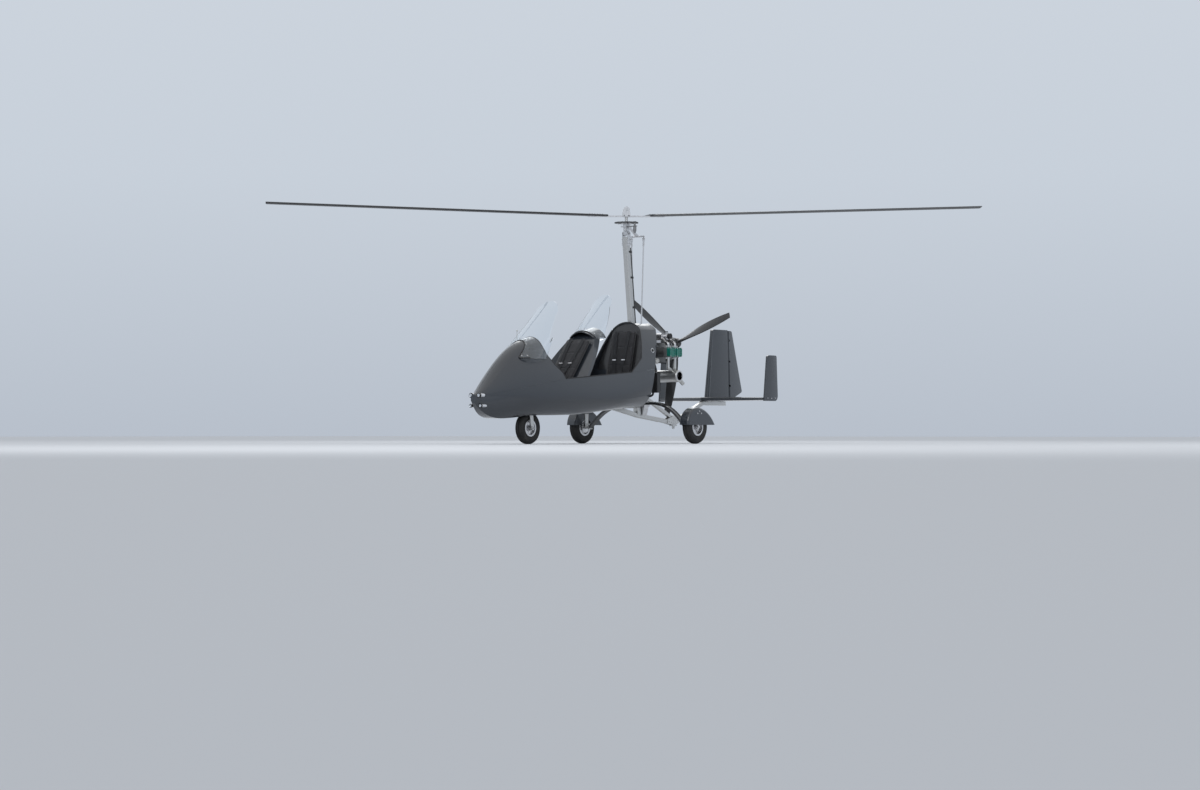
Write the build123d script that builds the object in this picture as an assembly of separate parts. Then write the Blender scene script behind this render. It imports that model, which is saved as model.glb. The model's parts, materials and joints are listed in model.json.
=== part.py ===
from build123d import *
import os
from functools import cache
from math import cos, radians, sin

# Two-seat open gyrocopter, parked level on its three wheels.
# Millimetres. +X is port, +Y is aft, +Z is up.
# The origin is on the ground, straight below the rotor shaft.

# Clearances
RUNNING = 0.08
SEAT_GAP = 0.3
PANEL_GAP = 0.8
MOVING_GAP = 6.0

# Half width of a cutter that is wider than the pod
WIDE = 600.0

# Pod: y and z places of its side view
POD_WALL = 10.0
NOSE_TIP_Y = -2706.0
POD_END_Y = 320.0
HOOD_REAR_Y = -1732.0
HOOD_REAR_Z = 998.0
HOOD_TOP_REAR_Y = -1765.0
HOOD_JOINT_NOSE_Z = 512.0
SILL_FRONT_Y = -1525.0
SILL_FRONT_Z = 732.0
SILL_REAR_Y = -362.0
SILL_REAR_Z = 827.0
DECK_FRONT_Y = 0.0
DECK_FRONT_Z = 1365.0
DECK_REAR_Y = 284.0
DECK_REAR_Z = 1345.0
POD_SIDE_REAR_Y = 125.0
POD_SIDE_REAR_Z = 1013.0
DECK_JOINT_REAR_Z = 870.0
POD_LOW_REAR_Y = -3.0
POD_LOW_REAR_Z = 554.0
POD_HEEL_Y = 20.0
POD_HEEL_Z = 440.0
LOWER_BULGE = 0.11
UPPER_BULGE = 0.08

# Pod sections from the nose aft:
# y, keel z, shoulder z, edge z, crown z, keel half width, shoulder half width, edge half width
POD_STATIONS = [
    (NOSE_TIP_Y, 450, 496, 526, 546, 18, 38, 32),
    (-2470, 297, 526, 712, 742, 70, 142, 88),
    (-2050, 303, 505, 1016, 1098, 103, 272, 130),
    (-1500, 325, 498, 1130, 1222, 138, 352, 180),
    (-800, 362, 508, 1205, 1300, 150, 384, 190),
    (-150, 412, 550, 1325, 1420, 150, 372, 196),
    (POD_END_Y, 465, 670, 1345, 1440, 140, 332, 215),
]

# Fuel filler cap
FUEL_CAP_PLACE = (302.0, 90.0, 1085.0)
FUEL_CAP_TILT = 0.23
FUEL_CAP_RADIUS = 28.0
FUEL_CAP_FLANGE = 5.0
FUEL_CAP_RISE = 18.0

# Probe on the hood
PROBE_Y = -1975.0
PROBE_TOP_Z = 1262.0
PROBE_RADIUS = 3.5
PROBE_BALL_RADIUS = 9.0

# Seat divider between the cockpits, a hollow wedge, side view
DIVIDER_FRONT_LOW_Y = -1290.0
DIVIDER_REAR_LOW_Y = -905.0
DIVIDER_LOW_Z = 600.0
DIVIDER_FRONT_TOP_Y = -722.0
DIVIDER_REAR_TOP_Y = -636.0
DIVIDER_TOP_Z = 1350.0
DIVIDER_WALL = 12.0
DIVIDER_CAP_FRONT_Y = -885.0
DIVIDER_CAP_LOW_Z = 1215.0

# Rear bulkhead behind the aft seat
BULKHEAD_WALL = 12.0
BULKHEAD_LOW_Y = -228.0
BULKHEAD_LOW_Z = 330.0
BULKHEAD_TOP_Y = 20.0
BULKHEAD_TOP_Z = 1365.0

# Seats
SEAT_HALF_WIDTH = 200.0
CUSHION_THICKNESS = 55.0
SEAT_PAN_DEPTH = 300.0
SEAT_PAN_RISE = 35.0
SEAT_PAN_WALL = 8.0
FRONT_PAN_Y = -1660.0
FRONT_PAN_Z = 590.0
REAR_PAN_Y = -570.0
REAR_PAN_Z = 680.0

FRONT_STICK_Y = -1712.0
REAR_STICK_Y = -700.0

# Nose lamps: x, z, front y, radius
NOSE_LAMPS = [(58.0, 535.0, -2680.0, 25.0), (72.0, 422.0, -2668.0, 19.0)]
LAMP_DEPTH = 90.0

# Windscreens, each a bent sheet
SCREEN_THICKNESS = 4.0
FRONT_SCREEN_LOW_Z = 950.0
FRONT_SCREEN_LOW_HALF = 246.0
FRONT_SCREEN_LOW_SIDE_Y = -1756.0
FRONT_SCREEN_LOW_MID_Y = -2156.0
FRONT_SCREEN_HIGH_Z = 1650.0
FRONT_SCREEN_HIGH_HALF = 190.0
FRONT_SCREEN_HIGH_SIDE_Y = -1325.0
FRONT_SCREEN_HIGH_MID_Y = -1339.0
FRONT_SCREEN_TOP_Z = 1614.0
FRONT_SCREEN_TOP_RADIUS = 175.0
FRONT_SCREEN_REAR_EDGE = [(-1783.0, 900.0), (-1520.0, 1407.0), (-1330.0, 1640.0)]
REAR_SCREEN_LOW_Z = 1180.0
REAR_SCREEN_LOW_HALF = 200.0
REAR_SCREEN_LOW_SIDE_Y = -690.0
REAR_SCREEN_LOW_MID_Y = -944.0
REAR_SCREEN_HIGH_Z = 1760.0
REAR_SCREEN_HIGH_HALF = 150.0
REAR_SCREEN_HIGH_SIDE_Y = -345.0
REAR_SCREEN_HIGH_MID_Y = -357.0
REAR_SCREEN_TOP_Z = 1729.0
REAR_SCREEN_TOP_RADIUS = 138.0
REAR_SCREEN_REAR_EDGE = [(-712.0, 1150.0), (-494.0, 1571.0), (-349.0, 1748.0)]

# Wheels
MAIN_AXLE_Y = 210.5
MAIN_TRACK = 1680.0
MAIN_TYRE_RADIUS = 195.0
MAIN_TYRE_HALF_WIDTH = 50.0
MAIN_RIM_RADIUS = 100.0
NOSE_WHEEL_Y = -1790.0
NOSE_TYRE_RADIUS = 180.0
NOSE_TYRE_HALF_WIDTH = 48.0
NOSE_RIM_RADIUS = 92.0
RIM_FLANGE = 9.0
RIM_HOLE_RADIUS = 15.0
RIM_HOLE_COUNT = 6
HUB_RADIUS = 27.0
HUB_HALF_WIDTH = 46.0
WEB_HALF_THICKNESS = 6.0
AXLE_RADIUS = 12.5
BRAKE_DISC_RADIUS = 66.0
BRAKE_DISC_THICKNESS = 5.0
BRAKE_DISC_OFFSET = 54.0
CALIPER_LOW = (34.0, 14.0)
CALIPER_HIGH = (62.0, 44.0)
CALIPER_HALF_WIDTH = 15.0

# Nose leg
NOSE_STEER_TRAIL = 30.0
NOSE_AXLE_HALF_LENGTH = 86.0
TOW_BORE_RADIUS = 6.0
TOW_BORE_LENGTH = 25.0
FORK_INNER_HALF = 60.0
FORK_LEG_THICKNESS = 12.0
FORK_LEG_TOP_HALF = 30.0
FORK_BOSS_RADIUS = 26.0
FORK_CROWN_GAP = 32.0
FORK_CROWN_HEIGHT = 18.0
STEM_RADIUS = 20.0
STEM_TOP_Z = 590.0
BEARING_TUBE_RADIUS = 34.0
WELL_HALF_WIDTH = 132.0
WELL_HALF_LENGTH = 222.0
WELL_TOP_GAP = 16.0
WELL_WALL = 8.0

# Gear bow
BOW_ROOT_Y = 292.0
BOW_ROOT_Z = 470.0
BOW_FLAT_HALF = 190.0
BOW_BEND_RADIUS = 600.0
BOW_BEND_ANGLE = 46.0
BOW_TIP_X = 706.0
BOW_ROOT_WIDTH = 104.0
BOW_TIP_WIDTH = 62.0
BOW_THICKNESS = 26.0

# Mudguards over the main wheels
FENDER_FRONT = 218.0
FENDER_TOP = 226.0
FENDER_TAIL = 318.0
FENDER_HEM = 24.0
FENDER_HALF_WIDTH = 68.0
FENDER_WALL = 5.0
FENDER_EDGE_RADIUS = 26.0
FENDER_NOTCH_RADIUS = 96.0

# Frame tubes
KEEL_WIDTH = 50.0
KEEL_WALL = 3.0
KEEL_FRONT_Y = -250.0
KEEL_FRONT_Z = 418.0
KEEL_SLOT_AHEAD = 8.0
KEEL_SLOT_REAR_Y = -90.0
KEEL_BEND_Y = 219.0
KEEL_BEND_Z = 329.0
TAIL_JOINT_Y = 915.5
TAIL_JOINT_Z = 246.0
TAIL_RISE_Y = 1490.0
TAIL_RISE_Z = 487.0
TAIL_END_Y = 1955.0
TAIL_END_Z = 487.0
BRACE_WIDTH = 40.0
BRACE_TOP_Y = 214.0
BRACE_TOP_Z = 610.0
GUSSET_THICKNESS = 5.0
GUSSET_BACK = 150.0
TIE_LUG_RADIUS = 22.0
TIE_BORE_RADIUS = 8.0
TIE_LUG_THICKNESS = 12.0
TIE_LUG_DROP = 52.0

# Mast
MAST_WIDTH = 66.0
MAST_WALL = 3.0
MAST_BASE_Z = 345.0
MAST_TOP_Z = 2425.0
MAST_TOP_Y = -13.0
MAST_LEAN = 0.1074

# Rotor head
PITCH_PIVOT_Z = 2462.0
ROLL_PIVOT_Z = 2506.0
PIVOT_RADIUS = 7.0
CHEEK_THICKNESS = 8.0
CHEEK_WIDTH = 56.0
CHEEK_LOW_Z = 2320.0
GIMBAL_HALF_X = 28.0
GIMBAL_HALF_Y = 24.0
BRIDGE_PLATE_LOW_Z = 2536.0
BRIDGE_PLATE_THICKNESS = 12.0
BRIDGE_PLATE_HALF_X = 46.0
BRIDGE_PLATE_HALF_Y = 56.0
BEARING_RADIUS = 42.0
BEARING_HEIGHT = 28.0
ARM_END_Y = 214.0
ARM_END_Z = 2440.0
ARM_WIDTH = 30.0
ARM_THICKNESS = 14.0
ROD_TOP_X = 90.0
ROD_FOOT_X = 58.0
ROD_FOOT_Y = 208.0
ROD_FOOT_Z = 1330.0
ROD_SLOT_SIDE = 38.0
ROD_SLOT_AHEAD = 76.0
ROD_RADIUS = 8.0
ROD_PIN_RADIUS = 4.0
ROD_EYE_RADIUS = 10.0
ROD_EYE_THICKNESS = 12.0
ROD_KNUCKLE_DROP = 24.0
RING_RADIUS = 140.0
RING_THICKNESS = 12.0
RING_LIFT = 8.0
RING_TOOTH_COUNT = 48
RING_TOOTH_DEPTH = 6.0
SHAFT_RADIUS = 18.0

# Rotor
ROTOR_RADIUS = 4200.0
ROTOR_REST_ANGLE = 42.0
BAR_Z = 2667.0
TEETER_RISE = 75.0
TEETER_PIN_RADIUS = 9.0
BAR_HALF_LENGTH = 450.0
BAR_MID_HALF_LENGTH = 190.0
BAR_WIDTH = 70.0
BAR_TIP_WIDTH = 48.0
BAR_THICKNESS = 14.0
TOWER_WIDTH = 73.0
TOWER_THICKNESS = 11.0
BLADE_ROOT = 215.0
BLADE_ROOT_SLANT = 130.0
BLADE_CHORD = 200.0
BLADE_THICKNESS = 25.0
BLADE_LEAD = 66.0
BLADE_CONE = 1.8

# Propeller
PROP_Y = 955.0
PROP_Z = 1205.0
PROP_RADIUS = 860.0
PROP_BLADE_COUNT = 3
PROP_REST_ANGLE = 21.0
PROP_HUB_RADIUS = 62.0
PROP_HUB_HALF_LENGTH = 34.0
SPINNER_RADIUS = 48.0
PROP_SHAFT_RADIUS = 22.0
PROP_SHAFT_DEPTH = 40.0

# Engine
CRANK_Z = 1080.0
ENGINE_FRONT_Y = 390.0
ENGINE_REAR_Y = 735.0
CASE_HALF_WIDTH = 88.0
CASE_HALF_HEIGHT = 118.0
GEARBOX_REAR_Y = 862.0
GEARBOX_RADIUS = 84.0
CYLINDER_RADIUS = 46.0
CYLINDER_OUTER_X = 222.0
FIN_RADIUS = 62.0
FIN_COUNT = 7
FIN_THICKNESS = 4.0
HEAD_OUTER_X = 262.0
COVER_OUTER_X = 312.0
CYLINDER_FRONT_Y = 492.0
CYLINDER_PITCH = 130.0
HEAD_HALF_LENGTH = 60.0
HEAD_HALF_HEIGHT = 62.0
COVER_HALF_LENGTH = 52.0
COVER_HALF_HEIGHT = 54.0
BANK_STAGGER = 28.0
PIPE_RADIUS = 19.0
INTAKE_RADIUS = 18.0
AIRBOX_HALF_WIDTH = 150.0
AIRBOX_HALF_LENGTH = 100.0
AIRBOX_HEIGHT = 78.0
PIPE_DROP = 185.0
MUFFLER_Y = 680.0
MUFFLER_Z = 800.0
MUFFLER_RADIUS = 72.0
MUFFLER_HALF_LENGTH = 270.0

COOLER_LOW_Z = 600.0
COOLER_HEIGHT = 230.0
COOLER_INNER_X = 98.0
COOLER_WIDTH = 94.0
COOLER_FRONT_Y = 345.0
COOLER_DEPTH = 60.0
COOLER_TANK = 16.0
COOLER_BAR_RISE = 47.0
COOLER_BAR_PITCH = 66.0

# Tail surfaces
STAB_HALF_SPAN = 780.0
STAB_ROOT_LE_Y = 1470.0
STAB_TIP_LE_Y = 1667.0
STAB_TE_Y = 1970.0
STAB_MID_Z = 538.0
STAB_ROOT_THICKNESS = 60.0
STAB_TIP_THICKNESS = 40.0
WINGLET_THICKNESS = 26.0
WINGLET_LOW_Z = 512.0
WINGLET_TOP_Z = 1063.0
WINGLET_TOP_LE_Y = 1726.0
WINGLET_TOP_TE_Y = 1941.0
WINGLET_CORNER = 70.0
FIN_LOW_Z = 529.0
FIN_TOP_Z = 1401.0
FIN_LOW_LE_Y = 1562.0
FIN_LOW_TE_Y = 2364.0
FIN_TOP_LE_Y = 1682.0
FIN_TOP_TE_Y = 2106.0
FIN_LOW_THICKNESS = 74.0
FIN_TOP_THICKNESS = 46.0
HINGE_Y = 2040.0
HINGE_PIN_RADIUS = 5.0
HINGE_ARM_Z = (700.0, 1000.0, 1260.0)
HINGE_ARM_HEIGHT = 12.0
RUDDER_TOP_Z = 1385.0
RUDDER_TOP_TE_Y = 2146.0
RUDDER_TOP_CORNER = 95.0
RUDDER_LOW_CORNER = 40.0


def line_face(points):
    """Flat face inside a closed outline of 3-D points."""
    return make_face(Polyline(*points, close=True))


def side_prism(points, low_x, high_x):
    """Solid of a side view given as (y, z) points, between two x planes."""
    face = line_face([(low_x, y, z) for y, z in points])
    return extrude(face, amount=high_x - low_x, dir=(1, 0, 0))


def front_prism(points, low_y, high_y):
    """Solid of a front view given as (x, z) points, between two y planes."""
    face = line_face([(x, low_y, z) for x, z in points])
    return extrude(face, amount=high_y - low_y, dir=(0, 1, 0))


def top_prism(points, low_z, high_z):
    """Solid of a top view given as (x, y) points, between two z planes."""
    face = line_face([(x, y, low_z) for x, y in points])
    return extrude(face, amount=high_z - low_z, dir=(0, 0, 1))


def block(low, high):
    """Box between two corners."""
    size = [high[i] - low[i] for i in range(3)]
    middle = [(high[i] + low[i]) / 2 for i in range(3)]
    return Pos(*middle) * Box(*size)


def rod(start, end, radius, bore=0.0):
    """Round bar or tube from one point to another."""
    run = Vector(*end) - Vector(*start)
    section = Circle(radius)
    if bore > 0:
        section -= Circle(bore)
    return extrude(Plane(origin=start, z_dir=run) * section, amount=run.length)


def square_tube(points, width, wall):
    """Square tube that follows (y, z) points on the centre plane, with mitred bends."""
    path = Polyline(*[(0, y, z) for y, z in points])
    run = Vector(0, points[1][0] - points[0][0], points[1][1] - points[0][1])
    plane = Plane(origin=(0, points[0][0], points[0][1]), x_dir=(1, 0, 0), z_dir=run)
    section = RectangleRounded(width, width, width * 0.12)
    section -= RectangleRounded(width - 2 * wall, width - 2 * wall, width * 0.06)
    return sweep(plane * section, path=path, transition=Transition.RIGHT)


def both_sides(solid):
    """The solid and its mirror image on the other side of the craft."""
    return solid.solids() + mirror(solid, about=Plane.YZ).solids()


def bulged_arc(start, end, away_from, bulge):
    """Arc between two points, bowed away from a third by a share of its chord."""
    first = Vector(*start)
    last = Vector(*end)
    chord = last - first
    normal = chord.cross(Vector(0, 1, 0)).normalized()
    middle = (first + last) * 0.5
    if (middle - Vector(*away_from)).dot(normal) < 0:
        normal = normal * -1
    return Edge.make_three_point_arc(first, middle + normal * (bulge * chord.length), last)


def pod_section(station, inset):
    """Cross-section of the pod at one station, drawn inwards by an inset."""
    y, keel_z, shoulder_z, edge_z, crown_z, keel_half, shoulder_half, edge_half = station
    keel_z += inset
    edge_z -= inset * 0.6
    crown_z -= inset
    keel_half -= inset * 0.5
    shoulder_half -= inset
    edge_half -= inset * 0.8
    heart = (0, y, shoulder_z)
    corners = {}
    for side in (-1, 1):
        corners[side] = (
            (side * keel_half, y, keel_z),
            (side * shoulder_half, y, shoulder_z),
            (side * edge_half, y, edge_z),
        )
    edges = [
        Edge.make_line(corners[-1][0], corners[1][0]),
        bulged_arc(corners[1][0], corners[1][1], heart, LOWER_BULGE),
        bulged_arc(corners[1][1], corners[1][2], heart, UPPER_BULGE),
        Edge.make_three_point_arc(corners[1][2], (0, y, crown_z), corners[-1][2]),
        bulged_arc(corners[-1][2], corners[-1][1], heart, UPPER_BULGE),
        bulged_arc(corners[-1][1], corners[-1][0], heart, LOWER_BULGE),
    ]
    return Face(Wire(edges))


def pod_solid(inset=0.0):
    """The pod's full outer form, or the form inside its wall, closed at the nose."""
    whole = loft([pod_section(station, inset) for station in POD_STATIONS])
    if inset > 0:
        whole -= block((-WIDE, NOSE_TIP_Y - 100, 0), (WIDE, NOSE_TIP_Y + inset, 1000))
    return whole


POD_OUTER = pod_solid()
POD_INNER = pod_solid(POD_WALL)
POD_SHELL = POD_OUTER - POD_INNER


def well_top():
    """Height of the roof of the nose wheel's well."""
    return 2 * NOSE_TYRE_RADIUS + FORK_CROWN_GAP + FORK_CROWN_HEIGHT + WELL_TOP_GAP


def steer_y():
    """Place of the nose leg's steering axis, ahead of the axle by its trail."""
    return NOSE_WHEEL_Y - NOSE_STEER_TRAIL


def well_block(extra):
    """Space of the nose wheel's well, enlarged by the thickness of its lining."""
    half = WELL_HALF_WIDTH + extra
    length = WELL_HALF_LENGTH + extra
    return block((-half, NOSE_WHEEL_Y - length, 100),
                 (half, NOSE_WHEEL_Y + length, well_top() + extra))


@cache
def hull_tub():
    """Lower half of the pod: a hollow tub with the nose wheel's well in its floor."""
    outline = [
        (NOSE_TIP_Y - 60, HOOD_JOINT_NOSE_Z - PANEL_GAP),
        (SILL_FRONT_Y, SILL_FRONT_Z),
        (SILL_REAR_Y, SILL_REAR_Z),
        (POD_SIDE_REAR_Y - 40, DECK_JOINT_REAR_Z),
        (POD_LOW_REAR_Y, POD_LOW_REAR_Z),
        (POD_HEEL_Y, POD_HEEL_Z),
        (POD_HEEL_Y, 100),
        (NOSE_TIP_Y - 60, 100),
    ]
    tub = POD_SHELL & side_prism(outline, -WIDE, WIDE)
    tub += POD_OUTER & well_block(WELL_WALL)
    tub -= well_block(0)
    tub -= rod((0, steer_y(), 300), (0, steer_y(), 600), STEM_RADIUS + 2)
    half = KEEL_WIDTH / 2 + SEAT_GAP
    tub -= block((-half, KEEL_FRONT_Y - KEEL_SLOT_AHEAD, 300), (half, KEEL_SLOT_REAR_Y, 460))
    return tub


def nose_hood():
    """Upper nose shell, from the lamps back to the front cockpit."""
    outline = [
        (NOSE_TIP_Y - 60, HOOD_JOINT_NOSE_Z),
        (SILL_FRONT_Y, SILL_FRONT_Z + PANEL_GAP),
        (SILL_FRONT_Y - 30, SILL_FRONT_Z + 64),
        (HOOD_REAR_Y + 74, HOOD_REAR_Z - 106),
        (HOOD_REAR_Y, HOOD_REAR_Z),
        (HOOD_TOP_REAR_Y, 1300),
        (NOSE_TIP_Y - 60, 1300),
    ]
    return POD_SHELL & side_prism(outline, -WIDE, WIDE)


def rear_deck():
    """Shell behind the aft seat, round the mast, open to the rear."""
    outline = [
        (SILL_REAR_Y, SILL_REAR_Z + PANEL_GAP),
        (SILL_REAR_Y + 213, SILL_REAR_Z + 164),
        (DECK_FRONT_Y, DECK_FRONT_Z),
        (DECK_FRONT_Y, 1600),
        (DECK_REAR_Y + 20, 1600),
        (DECK_REAR_Y, DECK_REAR_Z),
        (POD_SIDE_REAR_Y, POD_SIDE_REAR_Z),
        (POD_SIDE_REAR_Y - 40, DECK_JOINT_REAR_Z + PANEL_GAP),
    ]
    deck = POD_SHELL & side_prism(outline, -WIDE, WIDE)
    half = MAST_WIDTH / 2 + SEAT_GAP
    middle = mast_y(1430)
    deck -= block((-half, middle - half - 8, 1300), (half, middle + half + 34, 1600))
    half = ROD_FOOT_X + ROD_SLOT_SIDE
    deck -= block((-half, ROD_FOOT_Y - ROD_SLOT_AHEAD, 1300), (half, DECK_REAR_Y + 40, 1600))
    return deck


def fuel_cap():
    """Filler cap on the port side of the rear deck, square to the skin."""
    x, y, z = FUEL_CAP_PLACE
    outward = Vector(1, 0, FUEL_CAP_TILT).normalized()
    foot = Vector(x, y, z) - outward * 30
    flange = foot + outward * (30 + FUEL_CAP_FLANGE)
    face = foot + outward * (30 + FUEL_CAP_RISE)
    cap = rod(foot, flange, FUEL_CAP_RADIUS + 8) + rod(foot, face, FUEL_CAP_RADIUS)
    return cap - POD_OUTER


def yaw_probe():
    """Thin mast with a ball that stands on the hood ahead of the windscreen."""
    stem = rod((0, PROBE_Y, PROBE_TOP_Z - 170), (0, PROBE_Y, PROBE_TOP_Z), PROBE_RADIUS)
    return (stem + Pos(0, PROBE_Y, PROBE_TOP_Z) * Sphere(PROBE_BALL_RADIUS)) - POD_OUTER


def seat_divider():
    """Hollow wedge between the cockpits: front seat back and rear coaming."""
    wall = DIVIDER_WALL
    outer = [
        (DIVIDER_FRONT_LOW_Y, DIVIDER_LOW_Z),
        (DIVIDER_FRONT_TOP_Y, DIVIDER_TOP_Z),
        (DIVIDER_REAR_TOP_Y, DIVIDER_TOP_Z),
        (DIVIDER_REAR_LOW_Y, DIVIDER_LOW_Z),
    ]
    inner = [
        (DIVIDER_FRONT_LOW_Y + wall * 1.3, DIVIDER_LOW_Z - 1),
        (DIVIDER_FRONT_TOP_Y + wall * 0.6, DIVIDER_TOP_Z - 110),
        (DIVIDER_REAR_TOP_Y - wall * 1.6, DIVIDER_TOP_Z - 110),
        (DIVIDER_REAR_LOW_Y - wall * 1.1, DIVIDER_LOW_Z - 1),
    ]
    wedge = side_prism(outer, -WIDE, WIDE) - side_prism(inner, -WIDE, WIDE)
    cap = side_prism(
        [(DIVIDER_CAP_FRONT_Y + 45, DIVIDER_CAP_LOW_Z), (DIVIDER_CAP_FRONT_Y, DIVIDER_TOP_Z),
         (DIVIDER_REAR_TOP_Y, DIVIDER_TOP_Z), (DIVIDER_REAR_TOP_Y, DIVIDER_CAP_LOW_Z)],
        -WIDE, WIDE)
    return (wedge & POD_OUTER) - hull_tub() + (cap & POD_SHELL)


def rear_bulkhead():
    """Sloping wall that closes the rear cockpit in front of the mast."""
    outline = [
        (BULKHEAD_LOW_Y, BULKHEAD_LOW_Z),
        (BULKHEAD_TOP_Y, BULKHEAD_TOP_Z + 60),
        (BULKHEAD_TOP_Y + BULKHEAD_WALL, BULKHEAD_TOP_Z + 60),
        (BULKHEAD_LOW_Y + BULKHEAD_WALL, BULKHEAD_LOW_Z),
    ]
    wall = side_prism(outline, -WIDE, WIDE) & POD_INNER
    half = KEEL_WIDTH / 2 + SEAT_GAP
    return wall - block((-half, -400, 330), (half, 0, 460))


def bent_sheet(low, high):
    """Sheet bent round the front, between two arcs: (z, half width, side y, middle y)."""
    outlines = []
    for extra in (0.0, SCREEN_THICKNESS):
        faces = []
        for z, half, side_y, middle_y in (low, high):
            arc = Edge.make_three_point_arc(
                (-half - extra, side_y, z),
                (0, middle_y - extra, z),
                (half + extra, side_y, z),
            )
            back = Polyline((half + extra, side_y, z), (half + extra, side_y + 400, z),
                            (-half - extra, side_y + 400, z), (-half - extra, side_y, z))
            faces.append(Face(Wire([arc] + back.edges())))
        outlines.append(loft(faces, ruled=True))
    return outlines[1] - outlines[0]


def windscreen(low, high, top_z, top_radius, rear_edge):
    """Bent sheet with a round top, cut to its sloping rear edges, standing on the pod."""
    foot_z = low[0] - 50
    front = low[3] - 100
    back = high[2] + 100
    shoulder_z = top_z - top_radius
    outline = [(-top_radius, shoulder_z), (-WIDE / 2, foot_z), (WIDE / 2, foot_z),
               (top_radius, shoulder_z)]
    keep = front_prism(outline, front, back)
    keep += rod((0, front, shoulder_z), (0, back, shoulder_z), top_radius)
    top_y, edge_top_z = rear_edge[-1]
    ahead = side_prism(rear_edge + [(top_y, edge_top_z + 50), (front, edge_top_z + 50),
                                    (front, rear_edge[0][1])], -WIDE, WIDE)
    return (bent_sheet(low, high) & keep & ahead) - POD_OUTER


def front_windscreen():
    """Wrap-round windscreen on the hood."""
    low = (FRONT_SCREEN_LOW_Z, FRONT_SCREEN_LOW_HALF, FRONT_SCREEN_LOW_SIDE_Y,
           FRONT_SCREEN_LOW_MID_Y)
    high = (FRONT_SCREEN_HIGH_Z, FRONT_SCREEN_HIGH_HALF, FRONT_SCREEN_HIGH_SIDE_Y,
            FRONT_SCREEN_HIGH_MID_Y)
    return windscreen(low, high, FRONT_SCREEN_TOP_Z, FRONT_SCREEN_TOP_RADIUS,
                      FRONT_SCREEN_REAR_EDGE)


def rear_windscreen():
    """Small windscreen on the seat divider."""
    low = (REAR_SCREEN_LOW_Z, REAR_SCREEN_LOW_HALF, REAR_SCREEN_LOW_SIDE_Y,
           REAR_SCREEN_LOW_MID_Y)
    high = (REAR_SCREEN_HIGH_Z, REAR_SCREEN_HIGH_HALF, REAR_SCREEN_HIGH_SIDE_Y,
            REAR_SCREEN_HIGH_MID_Y)
    return windscreen(low, high, REAR_SCREEN_TOP_Z, REAR_SCREEN_TOP_RADIUS,
                      REAR_SCREEN_REAR_EDGE)


def instrument_panel():
    """Panel under the hood's rear edge, with round dial wells."""
    face_y = HOOD_TOP_REAR_Y - 25
    panel = block((-WIDE, face_y, 790), (WIDE, face_y + 12, 1300)) & POD_INNER
    for x, z, radius in ((-90, 1000, 38), (0, 1010, 40), (90, 1000, 38), (-60, 905, 30),
                         (60, 905, 30)):
        panel -= rod((x, face_y + 6, z), (x, face_y + 20, z), radius)
    return panel


def seat(pan_front_y, pan_rear_y, pan_z, wall_low, wall_top, back_low_z, back_top_z):
    """Pan and back cushions of one seat; its back leans on a wall given by two (y, z) points."""
    half = SEAT_HALF_WIDTH
    pan = side_prism(
        [
            (pan_front_y, pan_z + SEAT_PAN_RISE),
            (pan_rear_y, pan_z),
            (pan_rear_y, pan_z - CUSHION_THICKNESS),
            (pan_front_y, pan_z + SEAT_PAN_RISE - CUSHION_THICKNESS),
        ],
        -half,
        half,
    )
    pan = fillet(pan.edges().filter_by(Axis.X), 15)
    wall = Vector(0, wall_top[0] - wall_low[0], wall_top[1] - wall_low[1]).normalized()
    ahead = Vector(0, -wall.Z, wall.Y) * (CUSHION_THICKNESS / 2 + SEAT_GAP)
    foot = Vector(0, *wall_low) + wall * ((back_low_z - wall_low[1]) / wall.Z) + ahead
    plane = Plane(origin=foot, x_dir=(1, 0, 0), z_dir=wall)
    section = plane * RectangleRounded(2 * half - 40, CUSHION_THICKNESS, 20)
    back = extrude(section, amount=(back_top_z - back_low_z) / wall.Z)
    return [pan, back]


def seat_front():
    """Front seat's cushions, against the divider."""
    wall_low = (DIVIDER_FRONT_LOW_Y, DIVIDER_LOW_Z)
    wall_top = (DIVIDER_FRONT_TOP_Y, DIVIDER_TOP_Z)
    return seat(FRONT_PAN_Y, FRONT_PAN_Y + SEAT_PAN_DEPTH, FRONT_PAN_Z, wall_low, wall_top,
                FRONT_PAN_Z + 90, DIVIDER_TOP_Z - 170)


def seat_rear():
    """Rear seat's cushions, against the bulkhead."""
    wall_low = (BULKHEAD_LOW_Y, BULKHEAD_LOW_Z)
    wall_top = (BULKHEAD_TOP_Y, BULKHEAD_TOP_Z + 60)
    return seat(REAR_PAN_Y, REAR_PAN_Y + SEAT_PAN_DEPTH, REAR_PAN_Z, wall_low, wall_top,
                REAR_PAN_Z + 50, BULKHEAD_TOP_Z - 50)


def seat_pans():
    """Moulded bases under the seat cushions, standing on the pod's floor."""
    bases = []
    for y, z in ((FRONT_PAN_Y, FRONT_PAN_Z), (REAR_PAN_Y, REAR_PAN_Z)):
        rear = y + SEAT_PAN_DEPTH
        low = z - CUSHION_THICKNESS - SEAT_GAP
        wall = SEAT_PAN_WALL
        outline = [
            (y, low + SEAT_PAN_RISE),
            (rear, low),
            (rear, 200),
            (rear - wall, 200),
            (rear - wall, low - wall),
            (y + wall, low + SEAT_PAN_RISE - wall),
            (y + wall, 200),
            (y, 200),
        ]
        base = side_prism(outline, -WIDE, WIDE) & POD_INNER
        bases.append(base - well_block(WELL_WALL))
    return bases


def nose_lamps():
    """Two round lamps in the nose, and the lower side lamps."""
    lamps = []
    for x, z, front_y, radius in NOSE_LAMPS:
        barrel = rod((x, front_y + LAMP_DEPTH, z), (x, front_y, z), radius)
        lamps += both_sides(barrel - POD_OUTER)
    return lamps


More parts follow.
